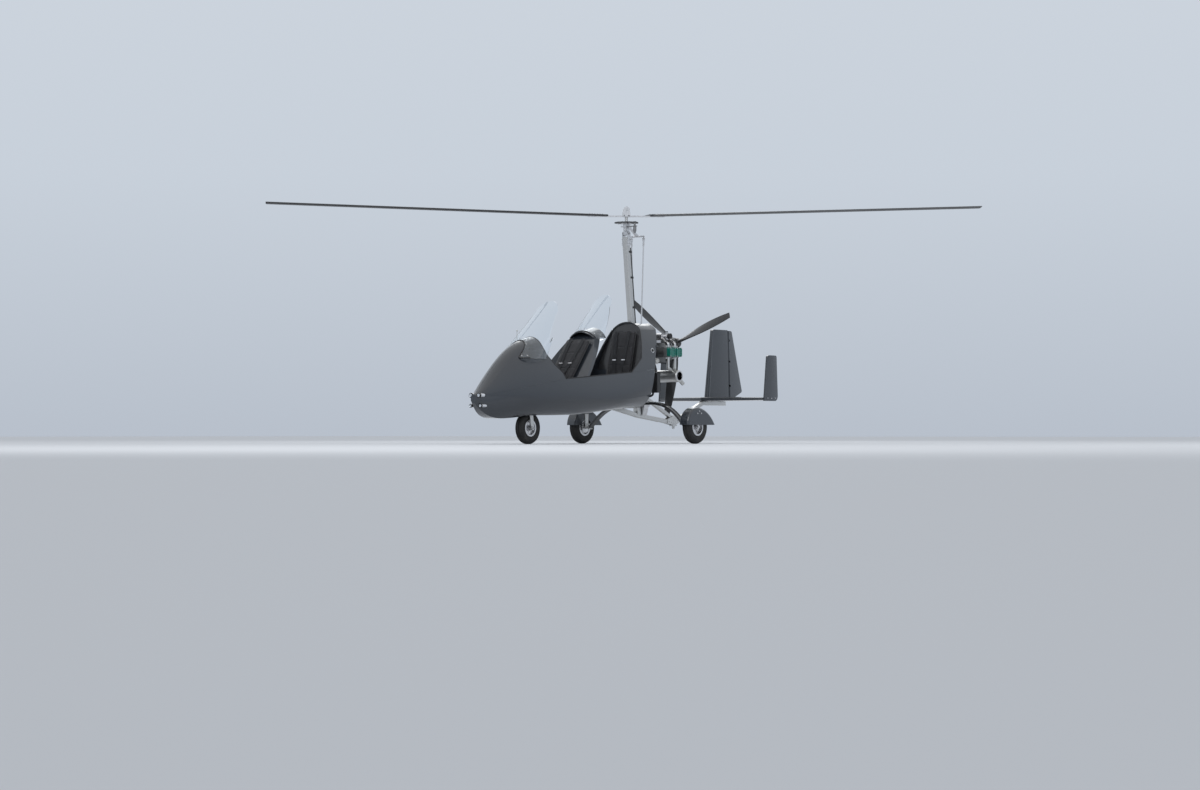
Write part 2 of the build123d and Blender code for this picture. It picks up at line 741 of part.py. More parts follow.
def control_sticks():
    """Front and rear control sticks, each with a grip."""
    sticks = []
    roof = well_top() + WELL_WALL
    for y, floor_z, top_z in ((FRONT_STICK_Y, roof, 700), (REAR_STICK_Y, 360, 790)):
        shaft = rod((0, y, floor_z), (0, y + 10, top_z), 9)
        grip = rod((0, y + 10, top_z - 2), (0, y + 26, top_z + 110), 17)
        boot = Pos(0, y, floor_z + 20) * Cone(26, 14, 40)
        sticks.append(((shaft + grip + boot) & POD_INNER) - hull_tub())
    return sticks


def mast_y(z):
    """Place of the mast's axis at a height."""
    return MAST_TOP_Y + (MAST_TOP_Z - z) * MAST_LEAN


def mast():
    """Leaning square mast from the keel to the rotor head."""
    ends = [(mast_y(MAST_BASE_Z), MAST_BASE_Z), (MAST_TOP_Y, MAST_TOP_Z)]
    return square_tube(ends, MAST_WIDTH, MAST_WALL) - keel_envelope()


def keel_front():
    """Lower keel tube from under the rear seat back to the tail joint."""
    points = [(KEEL_FRONT_Y, KEEL_FRONT_Z), (KEEL_BEND_Y, KEEL_BEND_Z),
              (TAIL_JOINT_Y - 12, TAIL_JOINT_Z + 2)]
    return square_tube(points, KEEL_WIDTH, KEEL_WALL)


def tail_tube():
    """Tail tube from the joint up to the stabilizer."""
    points = [(TAIL_JOINT_Y + 14, TAIL_JOINT_Z + 6), (TAIL_RISE_Y, TAIL_RISE_Z),
              (TAIL_END_Y, TAIL_END_Z)]
    return square_tube(points, KEEL_WIDTH, KEEL_WALL)


def keel_brace():
    """Upper brace from the mast down to the tail joint."""
    points = [(BRACE_TOP_Y, BRACE_TOP_Z), (TAIL_JOINT_Y - 45, TAIL_JOINT_Z + 62)]
    brace = square_tube(points, BRACE_WIDTH, KEEL_WALL)
    return brace - mast_envelope() - keel_envelope()


def mast_envelope():
    """Space that the mast fills, with its seating gap."""
    half = MAST_WIDTH / 2 + SEAT_GAP
    low = mast_y(300)
    return side_prism(
        [(low - half, 300), (low + half, 300), (MAST_TOP_Y + half, MAST_TOP_Z),
         (MAST_TOP_Y - half, MAST_TOP_Z)],
        -half,
        half,
    )


def keel_envelope():
    """Space that the keel tubes fill, with their seating gap."""
    half = KEEL_WIDTH / 2 + SEAT_GAP
    rise = half * 1.02
    return side_prism(
        [(KEEL_FRONT_Y, KEEL_FRONT_Z - rise), (KEEL_BEND_Y, KEEL_BEND_Z - rise),
         (TAIL_JOINT_Y, TAIL_JOINT_Z - rise), (TAIL_RISE_Y, TAIL_RISE_Z - rise),
         (TAIL_RISE_Y, TAIL_RISE_Z + rise), (TAIL_JOINT_Y, TAIL_JOINT_Z + rise),
         (KEEL_BEND_Y, KEEL_BEND_Z + rise), (KEEL_FRONT_Y, KEEL_FRONT_Z + rise)],
        -half,
        half,
    )


def joint_gussets():
    """Side plates that clamp the keel, brace and tail tubes, with the tie-down lug."""
    half = KEEL_WIDTH / 2 + SEAT_GAP
    outline = [
        (TAIL_JOINT_Y - GUSSET_BACK, TAIL_JOINT_Z - 8),
        (TAIL_JOINT_Y - GUSSET_BACK, TAIL_JOINT_Z + 48),
        (TAIL_JOINT_Y - 40, TAIL_JOINT_Z + 84),
        (TAIL_JOINT_Y + GUSSET_BACK, TAIL_JOINT_Z + 96),
        (TAIL_JOINT_Y + GUSSET_BACK, TAIL_JOINT_Z + 36),
        (TAIL_JOINT_Y, TAIL_JOINT_Z - 30),
    ]
    plates = []
    for side in (-1, 1):
        low = min(side * half, side * (half + GUSSET_THICKNESS))
        plates.append(side_prism(outline, low, low + GUSSET_THICKNESS))
    lug_z = TAIL_JOINT_Z - TIE_LUG_DROP
    saddle = block(
        (-half - GUSSET_THICKNESS, TAIL_JOINT_Y - 40, TAIL_JOINT_Z - 38),
        (half + GUSSET_THICKNESS, TAIL_JOINT_Y + 30, TAIL_JOINT_Z - 24),
    )
    lug = rod((-TIE_LUG_THICKNESS / 2, TAIL_JOINT_Y, lug_z),
              (TIE_LUG_THICKNESS / 2, TAIL_JOINT_Y, lug_z), TIE_LUG_RADIUS)
    lug += block((-TIE_LUG_THICKNESS / 2, TAIL_JOINT_Y - TIE_LUG_RADIUS, lug_z),
                 (TIE_LUG_THICKNESS / 2, TAIL_JOINT_Y + TIE_LUG_RADIUS, TAIL_JOINT_Z - 26))
    lug -= rod((-40, TAIL_JOINT_Y, lug_z), (40, TAIL_JOINT_Y, lug_z), TIE_BORE_RADIUS)
    whole = plates[0] + plates[1] + saddle + lug
    return whole - keel_envelope()


def bow_outline(offset):
    """One edge of the half bow in front view, at an offset from its middle line."""
    radius = BOW_BEND_RADIUS + offset
    centre = (BOW_FLAT_HALF, BOW_ROOT_Z - BOW_BEND_RADIUS)
    turn = radians(BOW_BEND_ANGLE)
    start = (0, BOW_ROOT_Z + offset)
    bend = (BOW_FLAT_HALF, BOW_ROOT_Z + offset)
    middle = (centre[0] + radius * sin(turn / 2), centre[1] + radius * cos(turn / 2))
    leave = (centre[0] + radius * sin(turn), centre[1] + radius * cos(turn))
    run = (BOW_TIP_X - leave[0]) / cos(turn)
    tip = (BOW_TIP_X, leave[1] - run * sin(turn))
    return start, bend, middle, leave, tip


def gear_bow():
    """Sprung composite arch that carries the main wheels."""
    y = 0
    outer = bow_outline(BOW_THICKNESS / 2)
    inner = bow_outline(-BOW_THICKNESS / 2)
    points = [[(x, y, z) for x, z in edge] for edge in (outer, inner)]
    edges = [
        Edge.make_line(points[0][0], points[0][1]),
        Edge.make_three_point_arc(points[0][1], points[0][2], points[0][3]),
        Edge.make_line(points[0][3], points[0][4]),
        Edge.make_line(points[0][4], points[1][4]),
        Edge.make_line(points[1][4], points[1][3]),
        Edge.make_three_point_arc(points[1][3], points[1][2], points[1][1]),
        Edge.make_line(points[1][1], points[1][0]),
        Edge.make_line(points[1][0], points[0][0]),
    ]
    band = extrude(Face(Wire(edges)), amount=600, dir=(0, 1, 0))
    root = BOW_ROOT_WIDTH / 2
    tip = BOW_TIP_WIDTH / 2
    plan = [
        (0, BOW_ROOT_Y - root),
        (120, BOW_ROOT_Y - root),
        (BOW_TIP_X, MAIN_AXLE_Y - tip),
        (BOW_TIP_X, MAIN_AXLE_Y + tip),
        (120, BOW_ROOT_Y + root),
        (0, BOW_ROOT_Y + root),
    ]
    half = band & top_prism(plan, 100, 600)
    return half + mirror(half, about=Plane.YZ)


def bow_clamp():
    """Block and strap that hold the bow on the keel."""
    low_z = KEEL_BEND_Z + 16
    under = BOW_ROOT_Z - BOW_THICKNESS / 2 - SEAT_GAP
    over = BOW_ROOT_Z + BOW_THICKNESS / 2 + SEAT_GAP
    front = BOW_ROOT_Y - BOW_ROOT_WIDTH / 2 + 10
    rear = BOW_ROOT_Y + BOW_ROOT_WIDTH / 2 - 10
    pedestal = front_prism([(-45, low_z - 16), (45, low_z - 16), (75, under), (-75, under)],
                           front, rear)
    strap = block((-75, front, over), (75, rear, over + 10))
    cover = block((-75, BOW_ROOT_Y + BOW_ROOT_WIDTH / 2 + SEAT_GAP, under - 20),
                  (75, BOW_ROOT_Y + BOW_ROOT_WIDTH / 2 + 8, over + 10))
    cover += block((-75, rear - 2, over), (75, BOW_ROOT_Y + BOW_ROOT_WIDTH / 2 + 8, over + 10))
    cover += block((-75, rear - 10, under - 20), (75, BOW_ROOT_Y + BOW_ROOT_WIDTH / 2 + 8, under))
    whole = pedestal + strap + cover
    return whole - keel_envelope() - mast_envelope()


def main_axles():
    """Stub axles with their tip brackets, brake calipers and mudguard stays."""
    tip = bow_outline(0)[4]
    wheel_x = MAIN_TRACK / 2
    wheel_z = MAIN_TYRE_RADIUS
    inner_face = BOW_TIP_X + SEAT_GAP
    stub = rod((inner_face, MAIN_AXLE_Y, wheel_z),
               (wheel_x + HUB_HALF_WIDTH + 6, MAIN_AXLE_Y, wheel_z), AXLE_RADIUS)
    bracket = side_prism(
        [
            (MAIN_AXLE_Y - 34, wheel_z - 24),
            (MAIN_AXLE_Y + 34, wheel_z - 24),
            (MAIN_AXLE_Y + 34, tip[1] + 24),
            (MAIN_AXLE_Y - 34, tip[1] + 24),
        ],
        inner_face,
        inner_face + 16,
    )
    disc_x = wheel_x - BRAKE_DISC_OFFSET
    caliper = block(
        (disc_x - CALIPER_HALF_WIDTH, MAIN_AXLE_Y + CALIPER_LOW[0], wheel_z + CALIPER_LOW[1]),
        (disc_x + CALIPER_HALF_WIDTH, MAIN_AXLE_Y + CALIPER_HIGH[0], wheel_z + CALIPER_HIGH[1]),
    )
    slot = BRAKE_DISC_THICKNESS / 2 + 2.5
    caliper -= rod((disc_x - slot, MAIN_AXLE_Y, wheel_z), (disc_x + slot, MAIN_AXLE_Y, wheel_z),
                   BRAKE_DISC_RADIUS + 2.5)
    arm = side_prism(
        [
            (MAIN_AXLE_Y, wheel_z - 20),
            (MAIN_AXLE_Y + 30, wheel_z - 20),
            (MAIN_AXLE_Y + CALIPER_HIGH[0], wheel_z + CALIPER_LOW[1]),
            (MAIN_AXLE_Y + CALIPER_HIGH[0], wheel_z + CALIPER_HIGH[1]),
            (MAIN_AXLE_Y, wheel_z + CALIPER_HIGH[1]),
        ],
        disc_x - CALIPER_HALF_WIDTH - 8,
        disc_x - CALIPER_HALF_WIDTH,
    )
    stay_x = wheel_x - FENDER_HALF_WIDTH - SEAT_GAP
    stay = side_prism(
        [
            (MAIN_AXLE_Y - 24, wheel_z - 16),
            (MAIN_AXLE_Y + 24, wheel_z - 16),
            (MAIN_AXLE_Y + 34, wheel_z + 158),
            (MAIN_AXLE_Y - 34, wheel_z + 158),
        ],
        stay_x - 6,
        stay_x,
    )
    return both_sides(stub + bracket + caliper + arm + stay)


def fender_outline(inset):
    """Side view of a mudguard round the wheel, or of the space inside its wall."""
    y = MAIN_AXLE_Y
    z = MAIN_TYRE_RADIUS
    hem = z + FENDER_HEM
    front = (0, y - FENDER_FRONT + inset, hem)
    top = (0, y - 4, z + FENDER_TOP - inset)
    tail = (0, y + FENDER_TAIL - inset * 2.4, hem)
    shoulder = (FENDER_FRONT - inset) * 0.73
    rise = (FENDER_TOP - inset) * 0.73
    arcs = [
        Edge.make_three_point_arc(front, (0, y - shoulder, z + rise), top),
        Edge.make_three_point_arc(top, (0, y + 168 - inset, z + 172 - inset), tail),
    ]
    low = hem - inset * 4
    if inset == 0:
        return arcs + [Edge.make_line(tail, front)]
    return arcs + [
        Edge.make_line(tail, (0, tail[1], low)),
        Edge.make_line((0, tail[1], low), (0, front[1], low)),
        Edge.make_line((0, front[1], low), front),
    ]


def rounded_prism(edges, width, radius):
    """Prism along x whose curved edges are rounded."""
    prism = extrude(Face(Wire(edges)), amount=width, dir=(1, 0, 0))
    curved = [edge for edge in prism.edges() if edge.geom_type == GeomType.CIRCLE]
    return fillet(curved, radius)


def fenders():
    """Open mudguards over the main wheels, drawn out to a point behind."""
    half = FENDER_HALF_WIDTH
    wall = FENDER_WALL
    outer = rounded_prism(fender_outline(0), 2 * half, FENDER_EDGE_RADIUS)
    core = rounded_prism(fender_outline(wall), 2 * (half - wall), FENDER_EDGE_RADIUS - wall)
    shell = outer - Pos(wall, 0, 0) * core
    shell -= rod((-1, MAIN_AXLE_Y, MAIN_TYRE_RADIUS), (half, MAIN_AXLE_Y, MAIN_TYRE_RADIUS),
                 FENDER_NOTCH_RADIUS)
    return both_sides(Pos(MAIN_TRACK / 2 - half, 0, 0) * shell)


def ring_profile(points, x, y, z):
    """Solid turned about a wheel's axis from (offset, radius) points."""
    face = line_face([(x + offset, y, z + radius) for offset, radius in points])
    return revolve(face, axis=Axis((x, y, z), (1, 0, 0)))


def tyre(x, y, radius, half_width, rim_radius):
    """Closed tyre with grooved tread."""
    z = radius
    seat = rim_radius - RIM_FLANGE + SEAT_GAP
    sidewall = (rim_radius + radius) / 2
    crown = half_width * 0.72
    groove = 4
    depth = 5
    points = [(-half_width * 0.8, seat), (-half_width * 0.8, rim_radius + 4),
              (-half_width * 0.86, rim_radius + 12),
              (-half_width, sidewall), (-half_width * 0.96, radius - 22),
              (-crown, radius - 7)]
    for middle in (-crown * 0.45, crown * 0.45):
        points += [(middle - groove, radius - 1), (middle - groove, radius - depth),
                   (middle + groove, radius - depth), (middle + groove, radius)]
    points += [(crown, radius - 7), (half_width * 0.96, radius - 22), (half_width, sidewall),
               (half_width * 0.86, rim_radius + 12), (half_width * 0.8, rim_radius + 4),
               (half_width * 0.8, seat)]
    return ring_profile(points, x, y, z)


def rim(x, y, z, rim_radius, half_width, disc_side=0):
    """Wheel rim with a pierced web, and a brake disc where it has one."""
    bore = AXLE_RADIUS + RUNNING
    seat = rim_radius - RIM_FLANGE
    edge = half_width * 0.8
    points = [
        (-HUB_HALF_WIDTH, bore),
        (-HUB_HALF_WIDTH, HUB_RADIUS),
        (-WEB_HALF_THICKNESS, HUB_RADIUS + 6),
        (-WEB_HALF_THICKNESS, seat - 12),
        (-edge + 6, seat - 6),
        (-edge - 5, seat - 6),
        (-edge - 5, rim_radius + 3),
        (-edge - SEAT_GAP, rim_radius + 3),
        (-edge - SEAT_GAP, seat),
        (edge + SEAT_GAP, seat),
        (edge + SEAT_GAP, rim_radius + 3),
        (edge + 5, rim_radius + 3),
        (edge + 5, seat - 6),
        (edge - 6, seat - 6),
        (WEB_HALF_THICKNESS, seat - 12),
        (WEB_HALF_THICKNESS, HUB_RADIUS + 6),
        (HUB_HALF_WIDTH, HUB_RADIUS),
        (HUB_HALF_WIDTH, bore),
    ]
    wheel = ring_profile(points, x, y, z)
    ring = (HUB_RADIUS + seat) / 2
    for index in range(RIM_HOLE_COUNT):
        turn = radians(360 / RIM_HOLE_COUNT * index)
        place = (y + ring * cos(turn), z + ring * sin(turn))
        wheel -= rod((x - 30, *place), (x + 30, *place), RIM_HOLE_RADIUS)
    if disc_side:
        middle = x + disc_side * BRAKE_DISC_OFFSET
        half = BRAKE_DISC_THICKNESS / 2
        wheel += rod((middle - half, y, z), (middle + half, y, z), BRAKE_DISC_RADIUS, bore)
        inner = x + disc_side * (HUB_HALF_WIDTH - 1)
        wheel += rod((min(middle, inner), y, z), (max(middle, inner), y, z), HUB_RADIUS, bore)
    return wheel


def nose_bearing():
    """Tube on the well's roof in which the nose leg turns."""
    low = well_top() + WELL_WALL
    return rod((0, steer_y(), low), (0, steer_y(), STEM_TOP_Z - 20), BEARING_TUBE_RADIUS,
               STEM_RADIUS + RUNNING)


def nose_fork():
    """Steered fork with its stem and axle; the axle's ends take a tow bar."""
    z = NOSE_TYRE_RADIUS
    crown_low = 2 * NOSE_TYRE_RADIUS + FORK_CROWN_GAP
    crown_high = crown_low + FORK_CROWN_HEIGHT
    inner = FORK_INNER_HALF
    outer = inner + FORK_LEG_THICKNESS
    front = steer_y() - FORK_LEG_TOP_HALF
    rear = steer_y() + FORK_LEG_TOP_HALF
    fork = block((-outer, front, crown_low), (outer, rear, crown_high))
    fork += rod((0, steer_y(), crown_high - 2), (0, steer_y(), STEM_TOP_Z), STEM_RADIUS)
    boss = FORK_BOSS_RADIUS
    for side in (-1, 1):
        low = min(side * inner, side * outer)
        leg = side_prism(
            [
                (front, crown_high),
                (rear, crown_high),
                (NOSE_WHEEL_Y + boss * 0.9, z + 10),
                (NOSE_WHEEL_Y - boss * 0.9, z + 10),
            ],
            low,
            low + FORK_LEG_THICKNESS,
        )
        leg += rod((low, NOSE_WHEEL_Y, z), (low + FORK_LEG_THICKNESS, NOSE_WHEEL_Y, z), boss)
        fork += leg
    half = NOSE_AXLE_HALF_LENGTH
    fork += rod((-half, NOSE_WHEEL_Y, z), (half, NOSE_WHEEL_Y, z), AXLE_RADIUS)
    for side in (-1, 1):
        fork -= rod((side * (half - TOW_BORE_LENGTH), NOSE_WHEEL_Y, z),
                    (side * half, NOSE_WHEEL_Y, z), TOW_BORE_RADIUS)
    return fork


def mast_cheeks():
    """Side plates on the mast's top that hold the pitch pivot pin."""
    inner = MAST_WIDTH / 2 + SEAT_GAP
    half = CHEEK_WIDTH / 2
    low_y = mast_y(CHEEK_LOW_Z)
    whole = rod((-inner - CHEEK_THICKNESS - 6, 0, PITCH_PIVOT_Z),
                (inner + CHEEK_THICKNESS + 6, 0, PITCH_PIVOT_Z), PIVOT_RADIUS)
    for side in (-1, 1):
        low = min(side * inner, side * (inner + CHEEK_THICKNESS))
        plate = side_prism(
            [
                (low_y - half, CHEEK_LOW_Z),
                (low_y + half, CHEEK_LOW_Z),
                (half, PITCH_PIVOT_Z),
                (-half, PITCH_PIVOT_Z),
            ],
            low,
            low + CHEEK_THICKNESS,
        )
        plate += rod((low, 0, PITCH_PIVOT_Z), (low + CHEEK_THICKNESS, 0, PITCH_PIVOT_Z), half)
        whole += plate
    return whole


def gimbal_block():
    """Block between the mast's cheeks that carries the roll pivot pin."""
    low = PITCH_PIVOT_Z - 20
    high = ROLL_PIVOT_Z + 16
    body = block((-GIMBAL_HALF_X, -GIMBAL_HALF_Y, low), (GIMBAL_HALF_X, GIMBAL_HALF_Y, high))
    body = fillet(body.edges().filter_by(Axis.X), 8)
    body -= rod((-60, 0, PITCH_PIVOT_Z), (60, 0, PITCH_PIVOT_Z), PIVOT_RADIUS + RUNNING)
    reach = GIMBAL_HALF_Y + 18
    return body + rod((0, -reach, ROLL_PIVOT_Z), (0, reach, ROLL_PIVOT_Z), PIVOT_RADIUS)


def bridge_top():
    """Height of the bridge plate's upper face."""
    return BRIDGE_PLATE_LOW_Z + BRIDGE_PLATE_THICKNESS


def rotor_bridge():
    """Bridge on the roll pivot: bearing housing, drive housing and the arm for the rods."""
    low = BRIDGE_PLATE_LOW_Z
    plate = block((-BRIDGE_PLATE_HALF_X, -BRIDGE_PLATE_HALF_Y, low),
                  (BRIDGE_PLATE_HALF_X, BRIDGE_PLATE_HALF_Y, bridge_top()))
    plate = fillet(plate.edges().filter_by(Axis.Z), 14)
    inner = GIMBAL_HALF_Y + 2
    for side in (-1, 1):
        face = min(side * inner, side * (inner + CHEEK_THICKNESS))
        plate += block((-20, face, ROLL_PIVOT_Z), (20, face + CHEEK_THICKNESS, low + 2))
        ear = rod((0, face, ROLL_PIVOT_Z), (0, face + CHEEK_THICKNESS, ROLL_PIVOT_Z), 20)
        plate += ear
        plate -= rod((0, face - 1, ROLL_PIVOT_Z), (0, face + CHEEK_THICKNESS + 1, ROLL_PIVOT_Z),
                     PIVOT_RADIUS + RUNNING)
    housing = rod((0, 0, low + 2), (0, 0, bridge_top() + BEARING_HEIGHT), BEARING_RADIUS)
    plate += housing
    plate -= rod((0, 0, low - 1), (0, 0, bridge_top() + BEARING_HEIGHT + 1),
                 SHAFT_RADIUS + RUNNING)
    arm = side_prism(
        [
            (BRIDGE_PLATE_HALF_Y - 6, bridge_top()),
            (BRIDGE_PLATE_HALF_Y - 6, low),
            (ARM_END_Y - 14, ARM_END_Z - 8),
            (ARM_END_Y + 12, ARM_END_Z - 8),
            (ARM_END_Y + 12, ARM_END_Z + 8),
        ],
        -ARM_WIDTH / 2,
        ARM_WIDTH / 2,
    )
    cross = rod((-ROD_TOP_X + 16, ARM_END_Y, ARM_END_Z), (ROD_TOP_X - 16, ARM_END_Y, ARM_END_Z),
                10)
    return plate + arm + cross + arm_pins()


def arm_pins():
    """Fore-and-aft pins at the ends of the cross arm, where the rod eyes hang."""
    whole = None
    face = ARM_END_Y - ROD_EYE_THICKNESS / 2 - 5
    for side in (-1, 1):
        x = side * ROD_TOP_X
        pin = rod((x, face - 4, ARM_END_Z), (x, ARM_END_Y + 10, ARM_END_Z), ROD_PIN_RADIUS)
        inner = side * (ROD_TOP_X - 30)
        near = side * (ROD_TOP_X - 17)
        outer = side * (ROD_TOP_X + 8)
        crank = block((min(inner, outer), face - 9, ARM_END_Z - 8),
                      (max(inner, outer), face, ARM_END_Z + 8))
        crank += block((min(inner, near), face - 2, ARM_END_Z - 8),
                       (max(inner, near), ARM_END_Y, ARM_END_Z + 8))
        whole = pin + crank if whole is None else whole + pin + crank
    return whole


def rod_eye(side):
    """Eye that hangs on the arm's pin and carries the push rod's cross pin."""
    x = side * ROD_TOP_X
    half = ROD_EYE_THICKNESS / 2 - 1
    eye = rod((x, ARM_END_Y - half, ARM_END_Z), (x, ARM_END_Y + half, ARM_END_Z), ROD_EYE_RADIUS)
    knuckle_z = ARM_END_Z - ROD_KNUCKLE_DROP
    eye += block((x - 5, ARM_END_Y - half, knuckle_z), (x + 5, ARM_END_Y + half, ARM_END_Z - 6))
    eye += rod((x - 5, ARM_END_Y, knuckle_z), (x + 5, ARM_END_Y, knuckle_z), 8)
    eye -= rod((x, ARM_END_Y - 20, ARM_END_Z), (x, ARM_END_Y + 20, ARM_END_Z),
               ROD_PIN_RADIUS + RUNNING)
    return eye + rod((x - 14, ARM_END_Y, knuckle_z), (x + 14, ARM_END_Y, knuckle_z), 3)


def push_rod(side):
    """Control rod with a forked top, from the rotor head down into the deck."""
    x = side * ROD_TOP_X
    knuckle_z = ARM_END_Z - ROD_KNUCKLE_DROP
    top = (x, ARM_END_Y, knuckle_z - 22)
    foot = (side * ROD_FOOT_X, ROD_FOOT_Y, ROD_FOOT_Z)
    body = rod(foot, top, ROD_RADIUS)
    body += block((x - 14, ARM_END_Y - 8, knuckle_z - 26), (x + 14, ARM_END_Y + 8, knuckle_z - 14))
    for offset in (-14, 7):
        low = x + offset
        body += block((low, ARM_END_Y - 7, knuckle_z - 16), (low + 7, ARM_END_Y + 7, knuckle_z))
        body += rod((low, ARM_END_Y, knuckle_z), (low + 7, ARM_END_Y, knuckle_z), 7)
        body -= rod((low - 1, ARM_END_Y, knuckle_z), (low + 8, ARM_END_Y, knuckle_z),
                    3 + RUNNING)
    return body


def ring_z():
    """Height of the ring gear's lower face."""
    return bridge_top() + BEARING_HEIGHT + RING_LIFT


def rotor_shaft():
    """Turning shaft with its teeter block and pin."""
    low = BRIDGE_PLATE_LOW_Z + 4
    teeter_z = BAR_Z + TEETER_RISE
    shaft = rod((0, 0, low), (0, 0, teeter_z - 10), SHAFT_RADIUS)
    head = Pos(0, 0, teeter_z) * Box(40, BAR_WIDTH - 6, 40)
    head = fillet(head.edges().filter_by(Axis.Y), 12)
    reach = BAR_WIDTH / 2 + TOWER_THICKNESS + 8
    pin = rod((0, -reach, teeter_z), (0, reach, teeter_z), TEETER_PIN_RADIUS)
    return Rot(0, 0, ROTOR_REST_ANGLE) * (shaft + head + pin)


def ring_gear():
    """Toothed disc under the hub, for spinning the rotor up."""
    z = ring_z()
    ring = rod((0, 0, z), (0, 0, z + RING_THICKNESS), RING_RADIUS, SHAFT_RADIUS)
    for index in range(RING_TOOTH_COUNT):
        notch = Pos(RING_RADIUS, 0, z + RING_THICKNESS / 2) * Box(
            2 * RING_TOOTH_DEPTH, RING_RADIUS * 0.06, RING_THICKNESS * 2)
        ring -= Rot(0, 0, 360 / RING_TOOTH_COUNT * index) * notch
    return ring


def hub_bar():
    """Teetering hub bar with its two towers; the blades are set on its ends."""
    half = BAR_WIDTH / 2
    tip = BAR_TIP_WIDTH / 2
    mid = BAR_MID_HALF_LENGTH
    end = BAR_HALF_LENGTH
    plan = [(-end, -tip), (-mid, -half), (mid, -half), (end, -tip), (end, tip), (mid, half),
            (-mid, half), (-end, tip)]
    low = BAR_Z - BAR_THICKNESS / 2
    bar = top_prism(plan, low, low + BAR_THICKNESS)
    bar -= block((-SHAFT_RADIUS - 18, -SHAFT_RADIUS - 4, low - 1),
                 (SHAFT_RADIUS + 18, SHAFT_RADIUS + 4, low + BAR_THICKNESS + 1))
    teeter_z = BAR_Z + TEETER_RISE
    for side in (-1, 1):
        face = min(side * half, side * (half + TOWER_THICKNESS))
        outline = [(-TOWER_WIDTH / 2 - 12, low), (TOWER_WIDTH / 2 + 12, low),
                   (TOWER_WIDTH / 2, teeter_z), (-TOWER_WIDTH / 2, teeter_z)]
        tower = front_prism(outline, face, face + TOWER_THICKNESS)
        tower += rod((0, face, teeter_z), (0, face + TOWER_THICKNESS, teeter_z), TOWER_WIDTH / 2)
        tower -= rod((0, face - 1, teeter_z), (0, face + TOWER_THICKNESS + 1, teeter_z),
                     TEETER_PIN_RADIUS + RUNNING)
        bar += tower
    return Rot(0, 0, ROTOR_REST_ANGLE) * bar


def foil_face(plane, chord, thickness, blunt=2.0):
    """Symmetric wing section on a plane: nose at the origin, tail along local x."""
    half = thickness / 2
    nose = 0.06 * chord
    waist = 0.34 * chord
    slope = half * 0.78
    upper = Edge.make_three_point_arc((nose, slope), (waist, half), (chord, blunt / 2))
    lower = Edge.make_three_point_arc((chord, -blunt / 2), (waist, -half), (nose, -slope))
    tail = Edge.make_line((chord, blunt / 2), (chord, -blunt / 2))
    front = Edge.make_three_point_arc((nose, -slope), (0, 0), (nose, slope))
    return plane * Face(Wire([upper, tail, lower, front]))


def rotor_blades():
    """Two long blades with slanted roots, set on the hub bar's ends."""
    plane = Plane(origin=(BLADE_ROOT, BLADE_LEAD, 0), x_dir=(0, -1, 0), z_dir=(1, 0, 0))
    section = foil_face(plane, BLADE_CHORD, BLADE_THICKNESS)
    blade = extrude(section, amount=ROTOR_RADIUS - BLADE_ROOT, dir=(1, 0, 0))
    slant = top_prism(
        [(BLADE_ROOT - 1, BLADE_LEAD + 5), (BLADE_ROOT - 1, BLADE_LEAD - BLADE_CHORD - 5),
         (BLADE_ROOT + BLADE_ROOT_SLANT, BLADE_LEAD - BLADE_CHORD - 5)],
        -50, 50)
    blade = blade - slant
    blade = Rot(0, -BLADE_CONE, 0) * blade
    end = BAR_HALF_LENGTH + SEAT_GAP
    half = BAR_THICKNESS / 2 + SEAT_GAP
    mid = BAR_MID_HALF_LENGTH
    rise = (end - mid) * sin(radians(BLADE_CONE))
    width = BAR_WIDTH / 2 + SEAT_GAP
    tip = BAR_TIP_WIDTH / 2 + SEAT_GAP
    pocket = top_prism([(mid, -width), (end, -tip), (end, tip), (mid, width)], -half, half)
    blade -= pocket
    blade = Pos(0, 0, BAR_Z) * blade
    other = Rot(0, 0, 180) * blade
    turn = Rot(0, 0, ROTOR_REST_ANGLE)
    return [turn * blade, turn * other]


def propeller():
    """Three-blade pusher propeller on a round hub."""
    hub = rod((0, PROP_Y - PROP_HUB_HALF_LENGTH, PROP_Z), (0, PROP_Y + PROP_HUB_HALF_LENGTH, PROP_Z),
              PROP_HUB_RADIUS)
    hub = fillet(hub.edges().filter_by(GeomType.CIRCLE), 8)
    hub += rod((0, PROP_Y + 30, PROP_Z), (0, PROP_Y + 58, PROP_Z), SPINNER_RADIUS)
    whole = hub
    # radius, chord, thickness, blade angle
    sections = ((48, 60, 42, 66), (180, 96, 26, 46), (520, 118, 15, 26), (PROP_RADIUS, 70, 8, 17))
    faces = []
    for radius, chord, thickness, angle in sections:
        turn = radians(angle)
        across = (-cos(turn), sin(turn), 0)
        origin = Vector(0, 0, radius) - Vector(*across) * (chord * 0.4)
        plane = Plane(origin=origin, x_dir=across, z_dir=(0, 0, 1))
        faces.append(foil_face(plane, chord, thickness, 1.5))
    blade = loft(faces)
    for index in range(PROP_BLADE_COUNT):
        angle = PROP_REST_ANGLE - 90 + 360 / PROP_BLADE_COUNT * index
        placed = Pos(0, PROP_Y, PROP_Z) * (Rot(0, -angle, 0) * blade)
        whole += placed
    return whole


